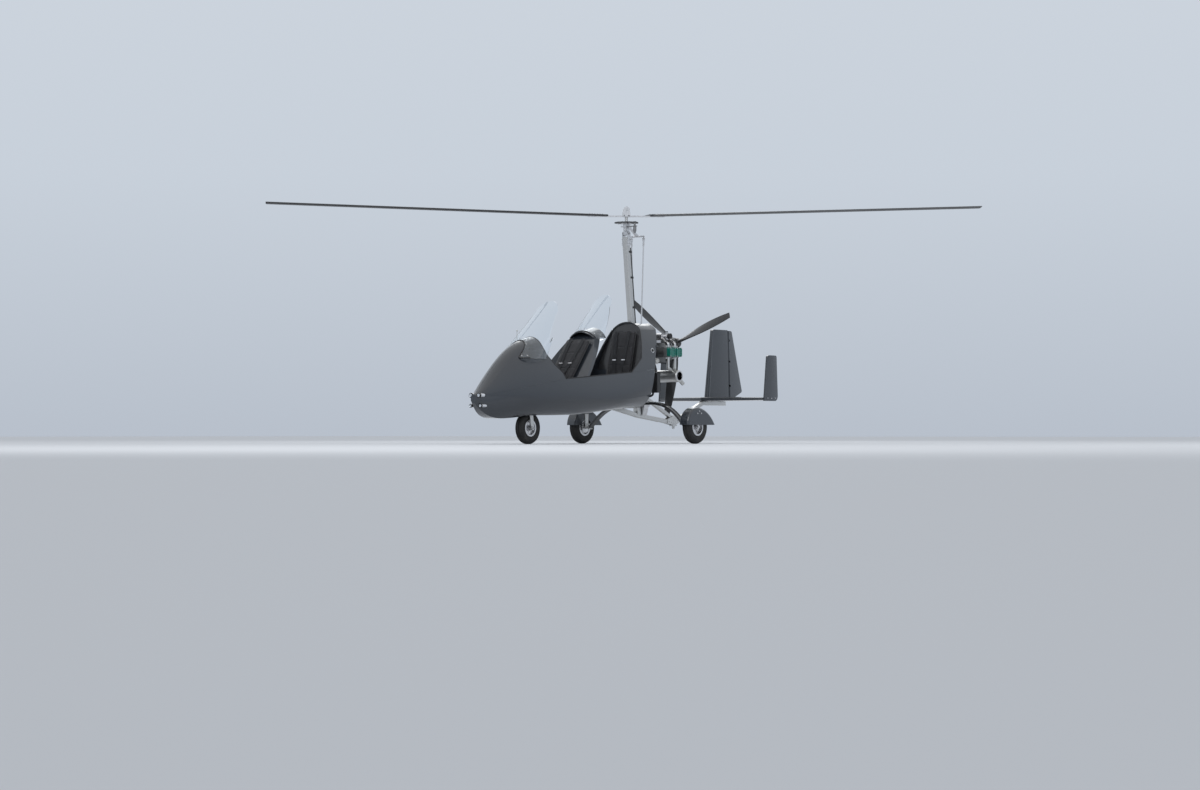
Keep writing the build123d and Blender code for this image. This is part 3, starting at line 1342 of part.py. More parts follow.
def engine_block():
    """Crankcase with the reduction gearbox and the propeller shaft."""
    half = CASE_HALF_WIDTH
    tall = CASE_HALF_HEIGHT
    chamfer_x = half * 0.45
    outline = [
        (-half, CRANK_Z - tall * 0.5), (-chamfer_x, CRANK_Z - tall), (chamfer_x, CRANK_Z - tall),
        (half, CRANK_Z - tall * 0.5), (half, CRANK_Z + tall * 0.6),
        (chamfer_x, CRANK_Z + tall), (-chamfer_x, CRANK_Z + tall), (-half, CRANK_Z + tall * 0.6),
    ]
    case = front_prism(outline, ENGINE_FRONT_Y, ENGINE_REAR_Y)
    for z, radius in ((CRANK_Z, GEARBOX_RADIUS), (PROP_Z, GEARBOX_RADIUS - 8)):
        case += rod((0, ENGINE_REAR_Y - 2, z), (0, GEARBOX_REAR_Y, z), radius)
    case += block((-GEARBOX_RADIUS + 6, ENGINE_REAR_Y - 2, CRANK_Z),
                  (GEARBOX_RADIUS - 6, GEARBOX_REAR_Y - 10, PROP_Z))
    flange_end = PROP_Y - PROP_HUB_HALF_LENGTH - MOVING_GAP
    case += rod((0, GEARBOX_REAR_Y - 2, PROP_Z), (0, flange_end, PROP_Z), 46)
    case -= rod((0, GEARBOX_REAR_Y - PROP_SHAFT_DEPTH - SEAT_GAP, PROP_Z),
                (0, flange_end + 1, PROP_Z), PROP_SHAFT_RADIUS + RUNNING)
    return case


def prop_shaft():
    """Shaft stub on the propeller that turns in the gearbox."""
    return rod((0, GEARBOX_REAR_Y - PROP_SHAFT_DEPTH, PROP_Z),
               (0, PROP_Y - PROP_HUB_HALF_LENGTH, PROP_Z), PROP_SHAFT_RADIUS)


def cylinder_places():
    """The four cylinders: side and place along the craft."""
    places = []
    for side, shift in ((1, 0.0), (-1, BANK_STAGGER)):
        for index in range(2):
            places.append((side, CYLINDER_FRONT_Y + shift + CYLINDER_PITCH * index))
    return places


def cylinders():
    """Finned barrels and heads."""
    solids = []
    for side, y in cylinder_places():
        barrel = rod((side * CASE_HALF_WIDTH, y, CRANK_Z), (side * CYLINDER_OUTER_X, y, CRANK_Z),
                     CYLINDER_RADIUS)
        step = (CYLINDER_OUTER_X - CASE_HALF_WIDTH) / FIN_COUNT
        for index in range(FIN_COUNT):
            x = side * (CASE_HALF_WIDTH + step * (index + 0.6))
            barrel += rod((x, y, CRANK_Z), (x + side * FIN_THICKNESS, y, CRANK_Z), FIN_RADIUS)
        low = min(side * CYLINDER_OUTER_X, side * HEAD_OUTER_X)
        head = block((low, y - HEAD_HALF_LENGTH, CRANK_Z - HEAD_HALF_HEIGHT),
                     (low + HEAD_OUTER_X - CYLINDER_OUTER_X, y + HEAD_HALF_LENGTH,
                      CRANK_Z + HEAD_HALF_HEIGHT))
        head = fillet(head.edges().filter_by(Axis.X), 16)
        solids.append(barrel + head)
    return solids


def rocker_covers():
    """Ribbed covers on the four heads."""
    solids = []
    for side, y in cylinder_places():
        inner = side * HEAD_OUTER_X
        outer = side * COVER_OUTER_X
        low = min(inner, outer)
        depth = COVER_OUTER_X - HEAD_OUTER_X
        cover = block((low, y - COVER_HALF_LENGTH, CRANK_Z - COVER_HALF_HEIGHT),
                      (low + depth, y + COVER_HALF_LENGTH, CRANK_Z + COVER_HALF_HEIGHT))
        cover = fillet(cover.edges().filter_by(Axis.X), 20)
        for index in range(4):
            z = CRANK_Z - 39 + 26 * index
            face = side * (COVER_OUTER_X - 8)
            groove_low = min(face, side * (COVER_OUTER_X + 2))
            reach = COVER_HALF_LENGTH - 12
            cover -= block((groove_low, y - reach, z - 7), (groove_low + 10, y + reach, z + 7))
        solids.append(cover)
    return solids


def intake():
    """Airbox over the crankcase with two carburettors and their pipes."""
    low_z = CRANK_Z + CASE_HALF_HEIGHT
    box_low = low_z + 30
    middle = CYLINDER_FRONT_Y + (CYLINDER_PITCH + BANK_STAGGER) / 2
    solid = block((-AIRBOX_HALF_WIDTH, middle - AIRBOX_HALF_LENGTH, box_low),
                  (AIRBOX_HALF_WIDTH, middle + AIRBOX_HALF_LENGTH, box_low + AIRBOX_HEIGHT))
    solid = fillet(solid.edges().filter_by(Axis.X), 24)
    solid += block((-40, middle - 40, low_z), (40, middle + 40, box_low + 4))
    for side, y in cylinder_places():
        port_x = side * (CYLINDER_OUTER_X + 18)
        elbow = (port_x, y, low_z - 20)
        solid += rod((side * (AIRBOX_HALF_WIDTH - 30), y, box_low + 34), elbow, INTAKE_RADIUS)
        solid += Pos(*elbow) * Sphere(INTAKE_RADIUS)
        solid += rod(elbow, (port_x, y, CRANK_Z + HEAD_HALF_HEIGHT + SEAT_GAP), INTAKE_RADIUS)
    return solid


def exhaust():
    """Four pipes from the heads into a cross muffler under the engine."""
    solid = rod((-MUFFLER_HALF_LENGTH, MUFFLER_Y, MUFFLER_Z),
                (MUFFLER_HALF_LENGTH, MUFFLER_Y, MUFFLER_Z), MUFFLER_RADIUS)
    solid = fillet(solid.edges().filter_by(GeomType.CIRCLE), 14)
    for side, y in cylinder_places():
        x = side * (CYLINDER_OUTER_X + 18)
        knee = (x, y, CRANK_Z - PIPE_DROP)
        foot = (side * 190, MUFFLER_Y, MUFFLER_Z + 40)
        solid += rod((x, y, CRANK_Z - HEAD_HALF_HEIGHT - SEAT_GAP), knee, PIPE_RADIUS)
        solid += Pos(*knee) * Sphere(PIPE_RADIUS)
        solid += rod(knee, foot, PIPE_RADIUS)
    tail = rod((MUFFLER_HALF_LENGTH - 40, MUFFLER_Y, MUFFLER_Z),
               (MUFFLER_HALF_LENGTH - 40, MUFFLER_Y + 120, MUFFLER_Z - 90), 24, 20)
    return solid + tail


def engine_mount():
    """Tube frame from the mast to the crankcase and the muffler."""
    solid = None
    face_y = ENGINE_FRONT_Y - SEAT_GAP
    # x at the engine, z at the engine, z at the mast
    tubes = ((60, CRANK_Z + 70, CRANK_Z + 150), (60, CRANK_Z - 75, CRANK_Z - 40),
             (60, CRANK_Z - 75, CRANK_Z - 330))
    for side in (-1, 1):
        for x, engine_z, mast_z in tubes:
            tube = rod((side * x, face_y, engine_z), (side * 20, mast_y(mast_z), mast_z), 13)
            solid = tube if solid is None else solid + tube
    plate = block((-82, face_y - 8, CRANK_Z - 95), (82, face_y, CRANK_Z + 92))
    plate -= block((-40, face_y - 20, CRANK_Z - 50), (40, face_y + 10, CRANK_Z + 50))
    solid += plate
    solid -= block((-200, face_y, 600), (200, face_y + 200, 1400))
    return solid - mast_envelope()


def radiator():
    """Upright coolers behind the mast, one each side, on two cross bars."""
    low = COOLER_LOW_Z
    high = COOLER_LOW_Z + COOLER_HEIGHT
    near = COOLER_INNER_X
    far = COOLER_INNER_X + COOLER_WIDTH
    front = COOLER_FRONT_Y
    rear = COOLER_FRONT_Y + COOLER_DEPTH
    solid = None
    for z in (low + COOLER_BAR_RISE, low + COOLER_BAR_RISE + COOLER_BAR_PITCH):
        bar = block((-far, front + 8, z - 9), (far, front + 26, z + 9))
        bar += block((-24, mast_y(z), z - 9), (24, front + 20, z + 9))
        solid = bar if solid is None else solid + bar
    for side in (-1, 1):
        left = min(side * near, side * far)
        solid += block((left, front, low), (left + COOLER_WIDTH, rear, high))
        for z in (low, high - COOLER_TANK):
            tank = block((left - 5, front - 6, z), (left + COOLER_WIDTH + 5, rear + 6, z + COOLER_TANK))
            solid += fillet(tank.edges().filter_by(Axis.Z), 10)
    return solid - mast_envelope()


def stabilizer():
    """Flat tailplane with swept leading edges."""
    sections = ((-STAB_HALF_SPAN, STAB_TIP_LE_Y, STAB_TIP_THICKNESS),
                (0, STAB_ROOT_LE_Y, STAB_ROOT_THICKNESS),
                (STAB_HALF_SPAN, STAB_TIP_LE_Y, STAB_TIP_THICKNESS))
    faces = []
    for x, nose_y, thickness in sections:
        plane = Plane(origin=(x, nose_y, STAB_MID_Z), x_dir=(0, 1, 0), z_dir=(1, 0, 0))
        faces.append(foil_face(plane, STAB_TE_Y - nose_y, thickness, 4))
    half = KEEL_WIDTH / 2 + SEAT_GAP
    tube = block((-half, STAB_ROOT_LE_Y - 50, 300), (half, STAB_TE_Y + 50, TAIL_END_Z + half))
    return loft(faces, ruled=True) - tube


def rounded_outline(corners, low_x, high_x):
    """Side-view outline of (y, z, corner radius) rows, extruded across the craft."""
    points = [(y, z) for y, z, radius in corners]
    solid = side_prism(points, low_x, high_x)
    for y, z, radius in corners:
        if radius > 0:
            edge = solid.edges().filter_by(Axis.X).sort_by_distance((low_x, y, z))[0]
            solid = fillet(edge, radius)
    return solid


def winglets():
    """Upright end plates on the stabilizer's tips."""
    inner = STAB_HALF_SPAN + SEAT_GAP
    middle = inner + WINGLET_THICKNESS / 2
    faces = []
    for z, nose_y, tail_y in ((WINGLET_LOW_Z, STAB_TIP_LE_Y, STAB_TE_Y),
                              (WINGLET_TOP_Z, WINGLET_TOP_LE_Y, WINGLET_TOP_TE_Y)):
        plane = Plane(origin=(middle, nose_y, z), x_dir=(0, 1, 0), z_dir=(0, 0, 1))
        faces.append(foil_face(plane, tail_y - nose_y, WINGLET_THICKNESS, 4))
    outline = rounded_outline(
        [(STAB_TIP_LE_Y - 1, WINGLET_LOW_Z, 0), (STAB_TE_Y + 1, WINGLET_LOW_Z, WINGLET_CORNER),
         (WINGLET_TOP_TE_Y + 1, WINGLET_TOP_Z, 30), (WINGLET_TOP_LE_Y - 1, WINGLET_TOP_Z, 50)],
        inner - 1, inner + WINGLET_THICKNESS + 1)
    return both_sides(loft(faces, ruled=True) & outline)


def upright_foil():
    """Full section of fin and rudder together."""
    faces = []
    for z, nose_y, tail_y, thickness in (
            (FIN_LOW_Z, FIN_LOW_LE_Y, FIN_LOW_TE_Y, FIN_LOW_THICKNESS),
            (FIN_TOP_Z, FIN_TOP_LE_Y, FIN_TOP_TE_Y, FIN_TOP_THICKNESS)):
        plane = Plane(origin=(0, nose_y, z), x_dir=(0, 1, 0), z_dir=(0, 0, 1))
        faces.append(foil_face(plane, tail_y - nose_y, thickness, 4))
    return loft(faces, ruled=True)


def fin_half_thickness(z):
    """Half thickness of the foil at the hinge line."""
    share = (z - FIN_LOW_Z) / (FIN_TOP_Z - FIN_LOW_Z)
    full = FIN_LOW_THICKNESS + (FIN_TOP_THICKNESS - FIN_LOW_THICKNESS) * share
    return full * 0.36


def fin():
    """Fixed fin ahead of the rudder, on top of the stabilizer."""
    rear = HINGE_Y - fin_half_thickness(FIN_LOW_Z) - MOVING_GAP
    keep = rounded_outline(
        [(FIN_LOW_LE_Y - 60, 565, 0), (rear, 565, 0), (rear, FIN_TOP_Z - 8, 0),
         (FIN_TOP_LE_Y, FIN_TOP_Z - 8, 55)], -80, 80)
    solid = upright_foil() & keep
    for z in HINGE_ARM_Z:
        arm = block((-7, rear - 30, z), (7, HINGE_Y, z + HINGE_ARM_HEIGHT))
        arm += rod((0, HINGE_Y, z), (0, HINGE_Y, z + HINGE_ARM_HEIGHT), 11)
        solid += arm
    solid -= rod((0, HINGE_Y, 500), (0, HINGE_Y, 1500), HINGE_PIN_RADIUS + RUNNING)
    return solid - stabilizer()


def rudder():
    """Rudder with a rounded nose on the hinge pin."""
    keep = rounded_outline(
        [(HINGE_Y, FIN_LOW_Z, 0), (FIN_LOW_TE_Y - 24, FIN_LOW_Z + 110, RUDDER_LOW_CORNER),
         (RUDDER_TOP_TE_Y, RUDDER_TOP_Z, RUDDER_TOP_CORNER), (HINGE_Y, RUDDER_TOP_Z, 0)],
        -80, 80)
    solid = upright_foil() & keep
    low = fin_half_thickness(FIN_LOW_Z)
    high = fin_half_thickness(FIN_TOP_Z)
    tall = RUDDER_TOP_Z - FIN_LOW_Z
    nose = Pos(0, HINGE_Y, FIN_LOW_Z + tall / 2) * Cone(low, high, tall)
    solid += nose
    for z in HINGE_ARM_Z:
        solid -= block((-80, HINGE_Y - 60, z - MOVING_GAP), (80, HINGE_Y + 17, z + HINGE_ARM_HEIGHT + MOVING_GAP))
    solid += rod((0, HINGE_Y, FIN_LOW_Z + 10), (0, HINGE_Y, RUDDER_TOP_Z - 15), HINGE_PIN_RADIUS)
    return solid


def drive_cable():
    """Flexible shaft that runs up the mast to the ring gear's drive."""
    offset = MAST_WIDTH / 2 + 12
    points = [(24, mast_y(z) + offset, z) for z in (1250, 2300)]
    solid = rod(points[0], points[1], 9)
    for z in (1600, 1950, 2250):
        y = mast_y(z)
        solid += block((14, y, z - 12), (34, y + offset + 11, z + 12))
    return solid - mast_envelope()


WHEEL_X = MAIN_TRACK / 2

PARTS = {
    "hull_tub": hull_tub,
    "nose_hood": nose_hood,
    "rear_deck": rear_deck,
    "fuel_cap": fuel_cap,
    "yaw_probe": yaw_probe,
    "seat_divider": seat_divider,
    "rear_bulkhead": rear_bulkhead,
    "front_windscreen": front_windscreen,
    "rear_windscreen": rear_windscreen,
    "instrument_panel": instrument_panel,
    "seat_pans": seat_pans,
    "seat_front": seat_front,
    "seat_rear": seat_rear,
    "nose_lamps": nose_lamps,
    "control_sticks": control_sticks,
    "mast": mast,
    "mast_cheeks": mast_cheeks,
    "drive_cable": drive_cable,
    "keel_front": keel_front,
    "keel_brace": keel_brace,
    "tail_tube": tail_tube,
    "joint_gussets": joint_gussets,
    "gear_bow": gear_bow,
    "bow_clamp": bow_clamp,
    "main_axles": main_axles,
    "fenders": fenders,
    "engine_block": engine_block,
    "cylinders": cylinders,
    "rocker_covers": rocker_covers,
    "intake": intake,
    "exhaust": exhaust,
    "engine_mount": engine_mount,
    "radiator": radiator,
    "stabilizer": stabilizer,
    "winglets": winglets,
    "fin": fin,
    "nose_bearing": nose_bearing,
    "rudder": rudder,
    "nose_fork": nose_fork,
    "nose_tyre": lambda: tyre(0, NOSE_WHEEL_Y, NOSE_TYRE_RADIUS, NOSE_TYRE_HALF_WIDTH,
                              NOSE_RIM_RADIUS),
    "nose_rim": lambda: rim(0, NOSE_WHEEL_Y, NOSE_TYRE_RADIUS, NOSE_RIM_RADIUS,
                            NOSE_TYRE_HALF_WIDTH),
    "port_tyre": lambda: tyre(WHEEL_X, MAIN_AXLE_Y, MAIN_TYRE_RADIUS, MAIN_TYRE_HALF_WIDTH,
                              MAIN_RIM_RADIUS),
    "port_rim": lambda: rim(WHEEL_X, MAIN_AXLE_Y, MAIN_TYRE_RADIUS, MAIN_RIM_RADIUS,
                            MAIN_TYRE_HALF_WIDTH, -1),
    "starboard_tyre": lambda: tyre(-WHEEL_X, MAIN_AXLE_Y, MAIN_TYRE_RADIUS,
                                   MAIN_TYRE_HALF_WIDTH, MAIN_RIM_RADIUS),
    "starboard_rim": lambda: rim(-WHEEL_X, MAIN_AXLE_Y, MAIN_TYRE_RADIUS, MAIN_RIM_RADIUS,
                                 MAIN_TYRE_HALF_WIDTH, 1),
    "propeller": propeller,
    "prop_shaft": prop_shaft,
    "gimbal_block": gimbal_block,
    "rotor_bridge": rotor_bridge,
    "port_rod_eye": lambda: rod_eye(1),
    "port_push_rod": lambda: push_rod(1),
    "starboard_rod_eye": lambda: rod_eye(-1),
    "starboard_push_rod": lambda: push_rod(-1),
    "rotor_shaft": rotor_shaft,
    "ring_gear": ring_gear,
    "hub_bar": hub_bar,
    "rotor_blades": rotor_blades,
}


def save(name, shape):
    """Write one node's solids to its own file."""
    items = shape if isinstance(shape, list) else [shape]
    solids = [solid for item in items for solid in item.solids()]
    whole = solids[0] if len(solids) == 1 else Compound(solids)
    export_step(whole, f"parts/{name}.step")


os.makedirs("parts", exist_ok=True)
for part_name, make in PARTS.items():
    save(part_name, make())
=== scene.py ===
import bpy
import json
import math
from mathutils import Matrix, Vector
from mathutils.bvhtree import BVHTree


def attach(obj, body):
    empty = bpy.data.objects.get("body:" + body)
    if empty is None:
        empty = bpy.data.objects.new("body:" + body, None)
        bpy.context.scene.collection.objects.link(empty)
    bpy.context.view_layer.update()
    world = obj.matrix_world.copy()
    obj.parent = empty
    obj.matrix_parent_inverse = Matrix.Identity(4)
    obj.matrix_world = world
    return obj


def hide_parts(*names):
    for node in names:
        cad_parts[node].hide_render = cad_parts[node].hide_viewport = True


# Finish of a two-seat open gyrocopter. Metres; +X is port, +Y is aft, +Z is up.

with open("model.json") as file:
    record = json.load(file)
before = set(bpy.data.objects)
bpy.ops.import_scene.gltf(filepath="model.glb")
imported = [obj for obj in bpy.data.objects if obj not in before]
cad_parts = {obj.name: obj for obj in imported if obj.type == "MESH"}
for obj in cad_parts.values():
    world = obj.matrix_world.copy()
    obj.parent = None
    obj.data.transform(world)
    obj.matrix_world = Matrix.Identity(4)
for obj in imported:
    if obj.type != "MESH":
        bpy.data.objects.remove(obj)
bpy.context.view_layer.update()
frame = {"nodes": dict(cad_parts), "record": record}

# Camera: at floor level, on the photograph's side of the nose
CAMERA_AZIMUTH = 38.0
CAMERA_DISTANCE = 30.0
CAMERA_HEIGHT = 0.12
LENS_PER_METRE = 2.56
AIM_HEIGHT = 0.57
SHIFT_X = -0.022


# Materials

def new_material(name):
    """Empty Principled material with its node tree and shader."""
    material = bpy.data.materials.new(name)
    material.use_nodes = True
    tree = material.node_tree
    return material, tree, tree.nodes["Principled BSDF"]


def set_inputs(node, **values):
    """Plain values on a node's sockets; an underscore in a key stands for a space."""
    for key, value in values.items():
        node.inputs[key.replace("_", " ")].default_value = value


def pattern(tree, kind, stretch=None, turn=None, **values):
    """Outputs of a texture over the object's own coordinates."""
    source = tree.nodes.new("ShaderNodeTexCoord").outputs["Object"]
    node = tree.nodes.new("ShaderNodeTex" + kind)
    set_inputs(node, **values)
    if stretch or turn:
        mapping = tree.nodes.new("ShaderNodeMapping")
        set_inputs(mapping, Scale=stretch or (1, 1, 1), Rotation=turn or (0, 0, 0))
        tree.links.new(source, mapping.inputs["Vector"])
        source = mapping.outputs["Vector"]
    tree.links.new(source, node.inputs["Vector"])
    return node.outputs


def noise(tree, scale, detail=4.0, stretch=None):
    """Noise over the object's own coordinates, stretched if wanted."""
    return pattern(tree, "Noise", stretch, Scale=scale, Detail=detail, Roughness=0.55)["Fac"]


def ramp(tree, source, stops):
    """Colour ramp over a value; stops are (position, colour) pairs."""
    node = tree.nodes.new("ShaderNodeValToRGB")
    while len(node.color_ramp.elements) < len(stops):
        node.color_ramp.elements.new(0.5)
    for element, (position, colour) in zip(node.color_ramp.elements, stops):
        element.position = position
        element.color = (*colour, 1)
    tree.links.new(source, node.inputs["Fac"])
    return node.outputs["Color"]


def spread(tree, source, low, high):
    """Value between low and high following a 0 to 1 source."""
    node = tree.nodes.new("ShaderNodeMapRange")
    set_inputs(node, To_Min=low, To_Max=high)
    tree.links.new(source, node.inputs["Value"])
    return node.outputs["Result"]


def bump(tree, shader, source, strength, distance):
    """Bump from a height source onto the shader."""
    node = tree.nodes.new("ShaderNodeBump")
    set_inputs(node, Strength=strength, Distance=distance)
    tree.links.new(source, node.inputs["Height"])
    tree.links.new(node.outputs["Normal"], shader.inputs["Normal"])


def surface(tree, shader, field, stops, low, high, rough_field=None):
    """Base colour by a ramp over a field, and roughness from low to high over it or another."""
    tree.links.new(ramp(tree, field, stops), shader.inputs["Base Color"])
    tree.links.new(spread(tree, rough_field or field, low, high), shader.inputs["Roughness"])


def shade(colour, factor):
    """A colour made lighter or darker."""
    return tuple(min(1.0, channel * factor) for channel in colour)


def mottled(name, colour, roughness, scale, swing=0.12, metallic=0.0, coat=0.0, grain=0.0,
            grain_scale=None, rough_swing=0.08):
    """General finish: mottled colour, uneven roughness and a fine grain."""
    material, tree, shader = new_material(name)
    set_inputs(shader, Metallic=metallic, Coat_Weight=coat, Coat_Roughness=0.06)
    surface(tree, shader, noise(tree, scale),
            [(0.3, shade(colour, 1 - swing)), (0.7, shade(colour, 1 + swing))],
            roughness - rough_swing, roughness + rough_swing)
    if grain > 0:
        bump(tree, shader, noise(tree, grain_scale or scale * 12), grain, 0.0006)
    return material


def body_paint():
    """Gloss anthracite paint with a fine flake and slight waviness."""
    colour = (0.022, 0.027, 0.035)
    material, tree, shader = new_material("body_paint")
    set_inputs(shader, Metallic=0.25, Coat_Weight=1.0, Coat_Roughness=0.03)
    surface(tree, shader, noise(tree, 2600.0, detail=2.0),
            [(0.4, shade(colour, 0.86)), (0.68, shade(colour, 1.25))], 0.30, 0.40,
            noise(tree, 2.2, detail=3.0))
    bump(tree, shader, noise(tree, 5.0, detail=1.0), 0.05, 0.004)
    return material


def carbon():
    """Black twill composite under a thin clear coat."""
    material, tree, shader = new_material("carbon")
    set_inputs(shader, Metallic=0.0, Coat_Weight=0.5, Coat_Roughness=0.12)
    twill = pattern(tree, "Checker", turn=(0.3, 0.5, math.pi / 4), Scale=320.0)["Fac"]
    surface(tree, shader, twill, [(0.0, (0.012, 0.012, 0.013)), (1.0, (0.028, 0.028, 0.03))],
            0.32, 0.46, noise(tree, 40.0))
    bump(tree, shader, twill, 0.05, 0.0002)
    return material


def brushed(name, colour, roughness, stretch):
    """Metal brushed along one direction."""
    material, tree, shader = new_material(name)
    set_inputs(shader, Metallic=1.0)
    streaks = noise(tree, 30.0, detail=6.0, stretch=stretch)
    surface(tree, shader, streaks, [(0.3, shade(colour, 0.86)), (0.7, shade(colour, 1.06))],
            roughness - 0.07, roughness + 0.12)
    bump(tree, shader, streaks, 0.12, 0.0003)
    return material


def tyre_rubber():
    """Dark rubber, dustier in patches."""
    material, tree, shader = new_material("tyre_rubber")
    set_inputs(shader, Specular_IOR_Level=0.35)
    surface(tree, shader, noise(tree, 14.0),
            [(0.35, (0.012, 0.012, 0.013)), (0.75, (0.035, 0.034, 0.032))], 0.62, 0.85)
    bump(tree, shader, noise(tree, 260.0), 0.25, 0.0008)
    return material


def clear_sheet():
    """Clear acrylic with a faint cool tint and fine scuffs."""
    material, tree, shader = new_material("clear_sheet")
    set_inputs(shader, Base_Color=(0.93, 0.97, 1.0, 1), Transmission_Weight=1.0, IOR=1.49)
    scuffs = noise(tree, 60.0, detail=8.0, stretch=(1, 1, 6))
    tree.links.new(spread(tree, scuffs, 0.0, 0.06), shader.inputs["Roughness"])
    bump(tree, shader, noise(tree, 9.0, detail=1.0), 0.02, 0.002)
    return material


def cloth():
    """Dark padded seat cloth with a woven grain."""
    material, tree, shader = new_material("seat_cloth")
    set_inputs(shader, Sheen_Weight=0.35, Sheen_Roughness=0.4)
    surface(tree, shader, noise(tree, 22.0),
            [(0.3, (0.014, 0.014, 0.016)), (0.75, (0.03, 0.03, 0.034))], 0.72, 0.92)
    bump(tree, shader, pattern(tree, "Voronoi", Scale=420.0)["Distance"], 0.35, 0.0006)
    return material


def lens_glass():
    """Clear lamp glass with moulded flutes."""
    material, tree, shader = new_material("lens_glass")
    set_inputs(shader, Base_Color=(0.96, 0.98, 1.0, 1), Transmission_Weight=1.0, IOR=1.46,
               Roughness=0.03)
    bump(tree, shader, pattern(tree, "Wave", Scale=90.0)["Fac"], 0.35, 0.0008)
    return material


MATERIALS = {
    "body_gloss": body_paint(),
    "composite_black": carbon(),
    "blade_black": mottled("blade_black", (0.022, 0.023, 0.025), 0.42, 3.0, grain=0.05),
    "stainless": brushed("stainless", (0.62, 0.62, 0.61), 0.30, (1, 1, 14)),
    "alloy": brushed("alloy", (0.70, 0.70, 0.71), 0.28, (9, 1, 1)),
    "dark_steel": mottled("dark_steel", (0.03, 0.031, 0.033), 0.42, 30.0, grain=0.15),
    "cast_alloy": mottled("cast_alloy", (0.26, 0.265, 0.27), 0.55, 22.0, metallic=0.85,
                          grain=0.6, grain_scale=420.0),
    "cover_green": mottled("cover_green", (0.004, 0.16, 0.12), 0.34, 18.0, coat=0.5, grain=0.1),
    "clear_screen": clear_sheet(),
    "tyre": tyre_rubber(),
    "seat_cloth": cloth(),
    "lamp": mottled("lamp", (0.75, 0.76, 0.78), 0.08, 40.0, metallic=1.0, rough_swing=0.04),
    "black_plastic": mottled("black_plastic", (0.018, 0.018, 0.019), 0.5, 50.0, grain=0.3,
                             grain_scale=700.0),
    "bolt": mottled("bolt", (0.66, 0.66, 0.67), 0.26, 90.0, metallic=1.0),
    "rubber": mottled("rubber", (0.016, 0.016, 0.017), 0.62, 60.0, grain=0.2, grain_scale=500.0),
    "piping": mottled("piping", (0.05, 0.052, 0.056), 0.6, 90.0, grain=0.2),
    "webbing": mottled("webbing", (0.02, 0.021, 0.024), 0.82, 70.0, grain=0.7, grain_scale=1300.0),
    "red_plastic": mottled("red_plastic", (0.45, 0.012, 0.012), 0.38, 60.0, coat=0.2),
    "dial": mottled("dial", (0.008, 0.008, 0.009), 0.4, 40.0),
    "white_mark": mottled("white_mark", (0.72, 0.72, 0.70), 0.42, 50.0, swing=0.05),
    "core": mottled("core", (0.09, 0.09, 0.092), 0.5, 60.0, metallic=0.6),
    "lens": lens_glass(),
}

# Slot of the record that a finish of the details alone belongs to
SLOT_OF = {
    "bolt": "stainless",
    "core": "dark_steel",
    "dial": "black_plastic",
    "lens": "clear_screen",
    "piping": "seat_cloth",
    "red_plastic": "black_plastic",
    "rubber": "black_plastic",
    "webbing": "seat_cloth",
    "white_mark": "alloy",
}


def finish_frame_nodes():
    """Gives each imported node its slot's material."""
    for part in frame["record"]["subparts"]:
        node = frame["nodes"][part["node"]]
        for material_slot in node.material_slots:
            material_slot.material = MATERIALS[part["material_slot"]]


# Building blocks for the detailed pieces

def circle(count, radius, turn=0.0):
    """Evenly spaced points round a circle."""
    angles = [2 * math.pi * step / count + turn for step in range(count)]
    return [(radius * math.cos(angle), radius * math.sin(angle)) for angle in angles]


def sideways(x):
    """Vector along x alone."""
    return Vector((x, 0, 0))


def upward(z):
    """Vector along z alone."""
    return Vector((0, 0, z))


def mirrored(side, points):
    """Points given for port, on the side asked for."""
    return [(side * x, y, z) for x, y, z in points]


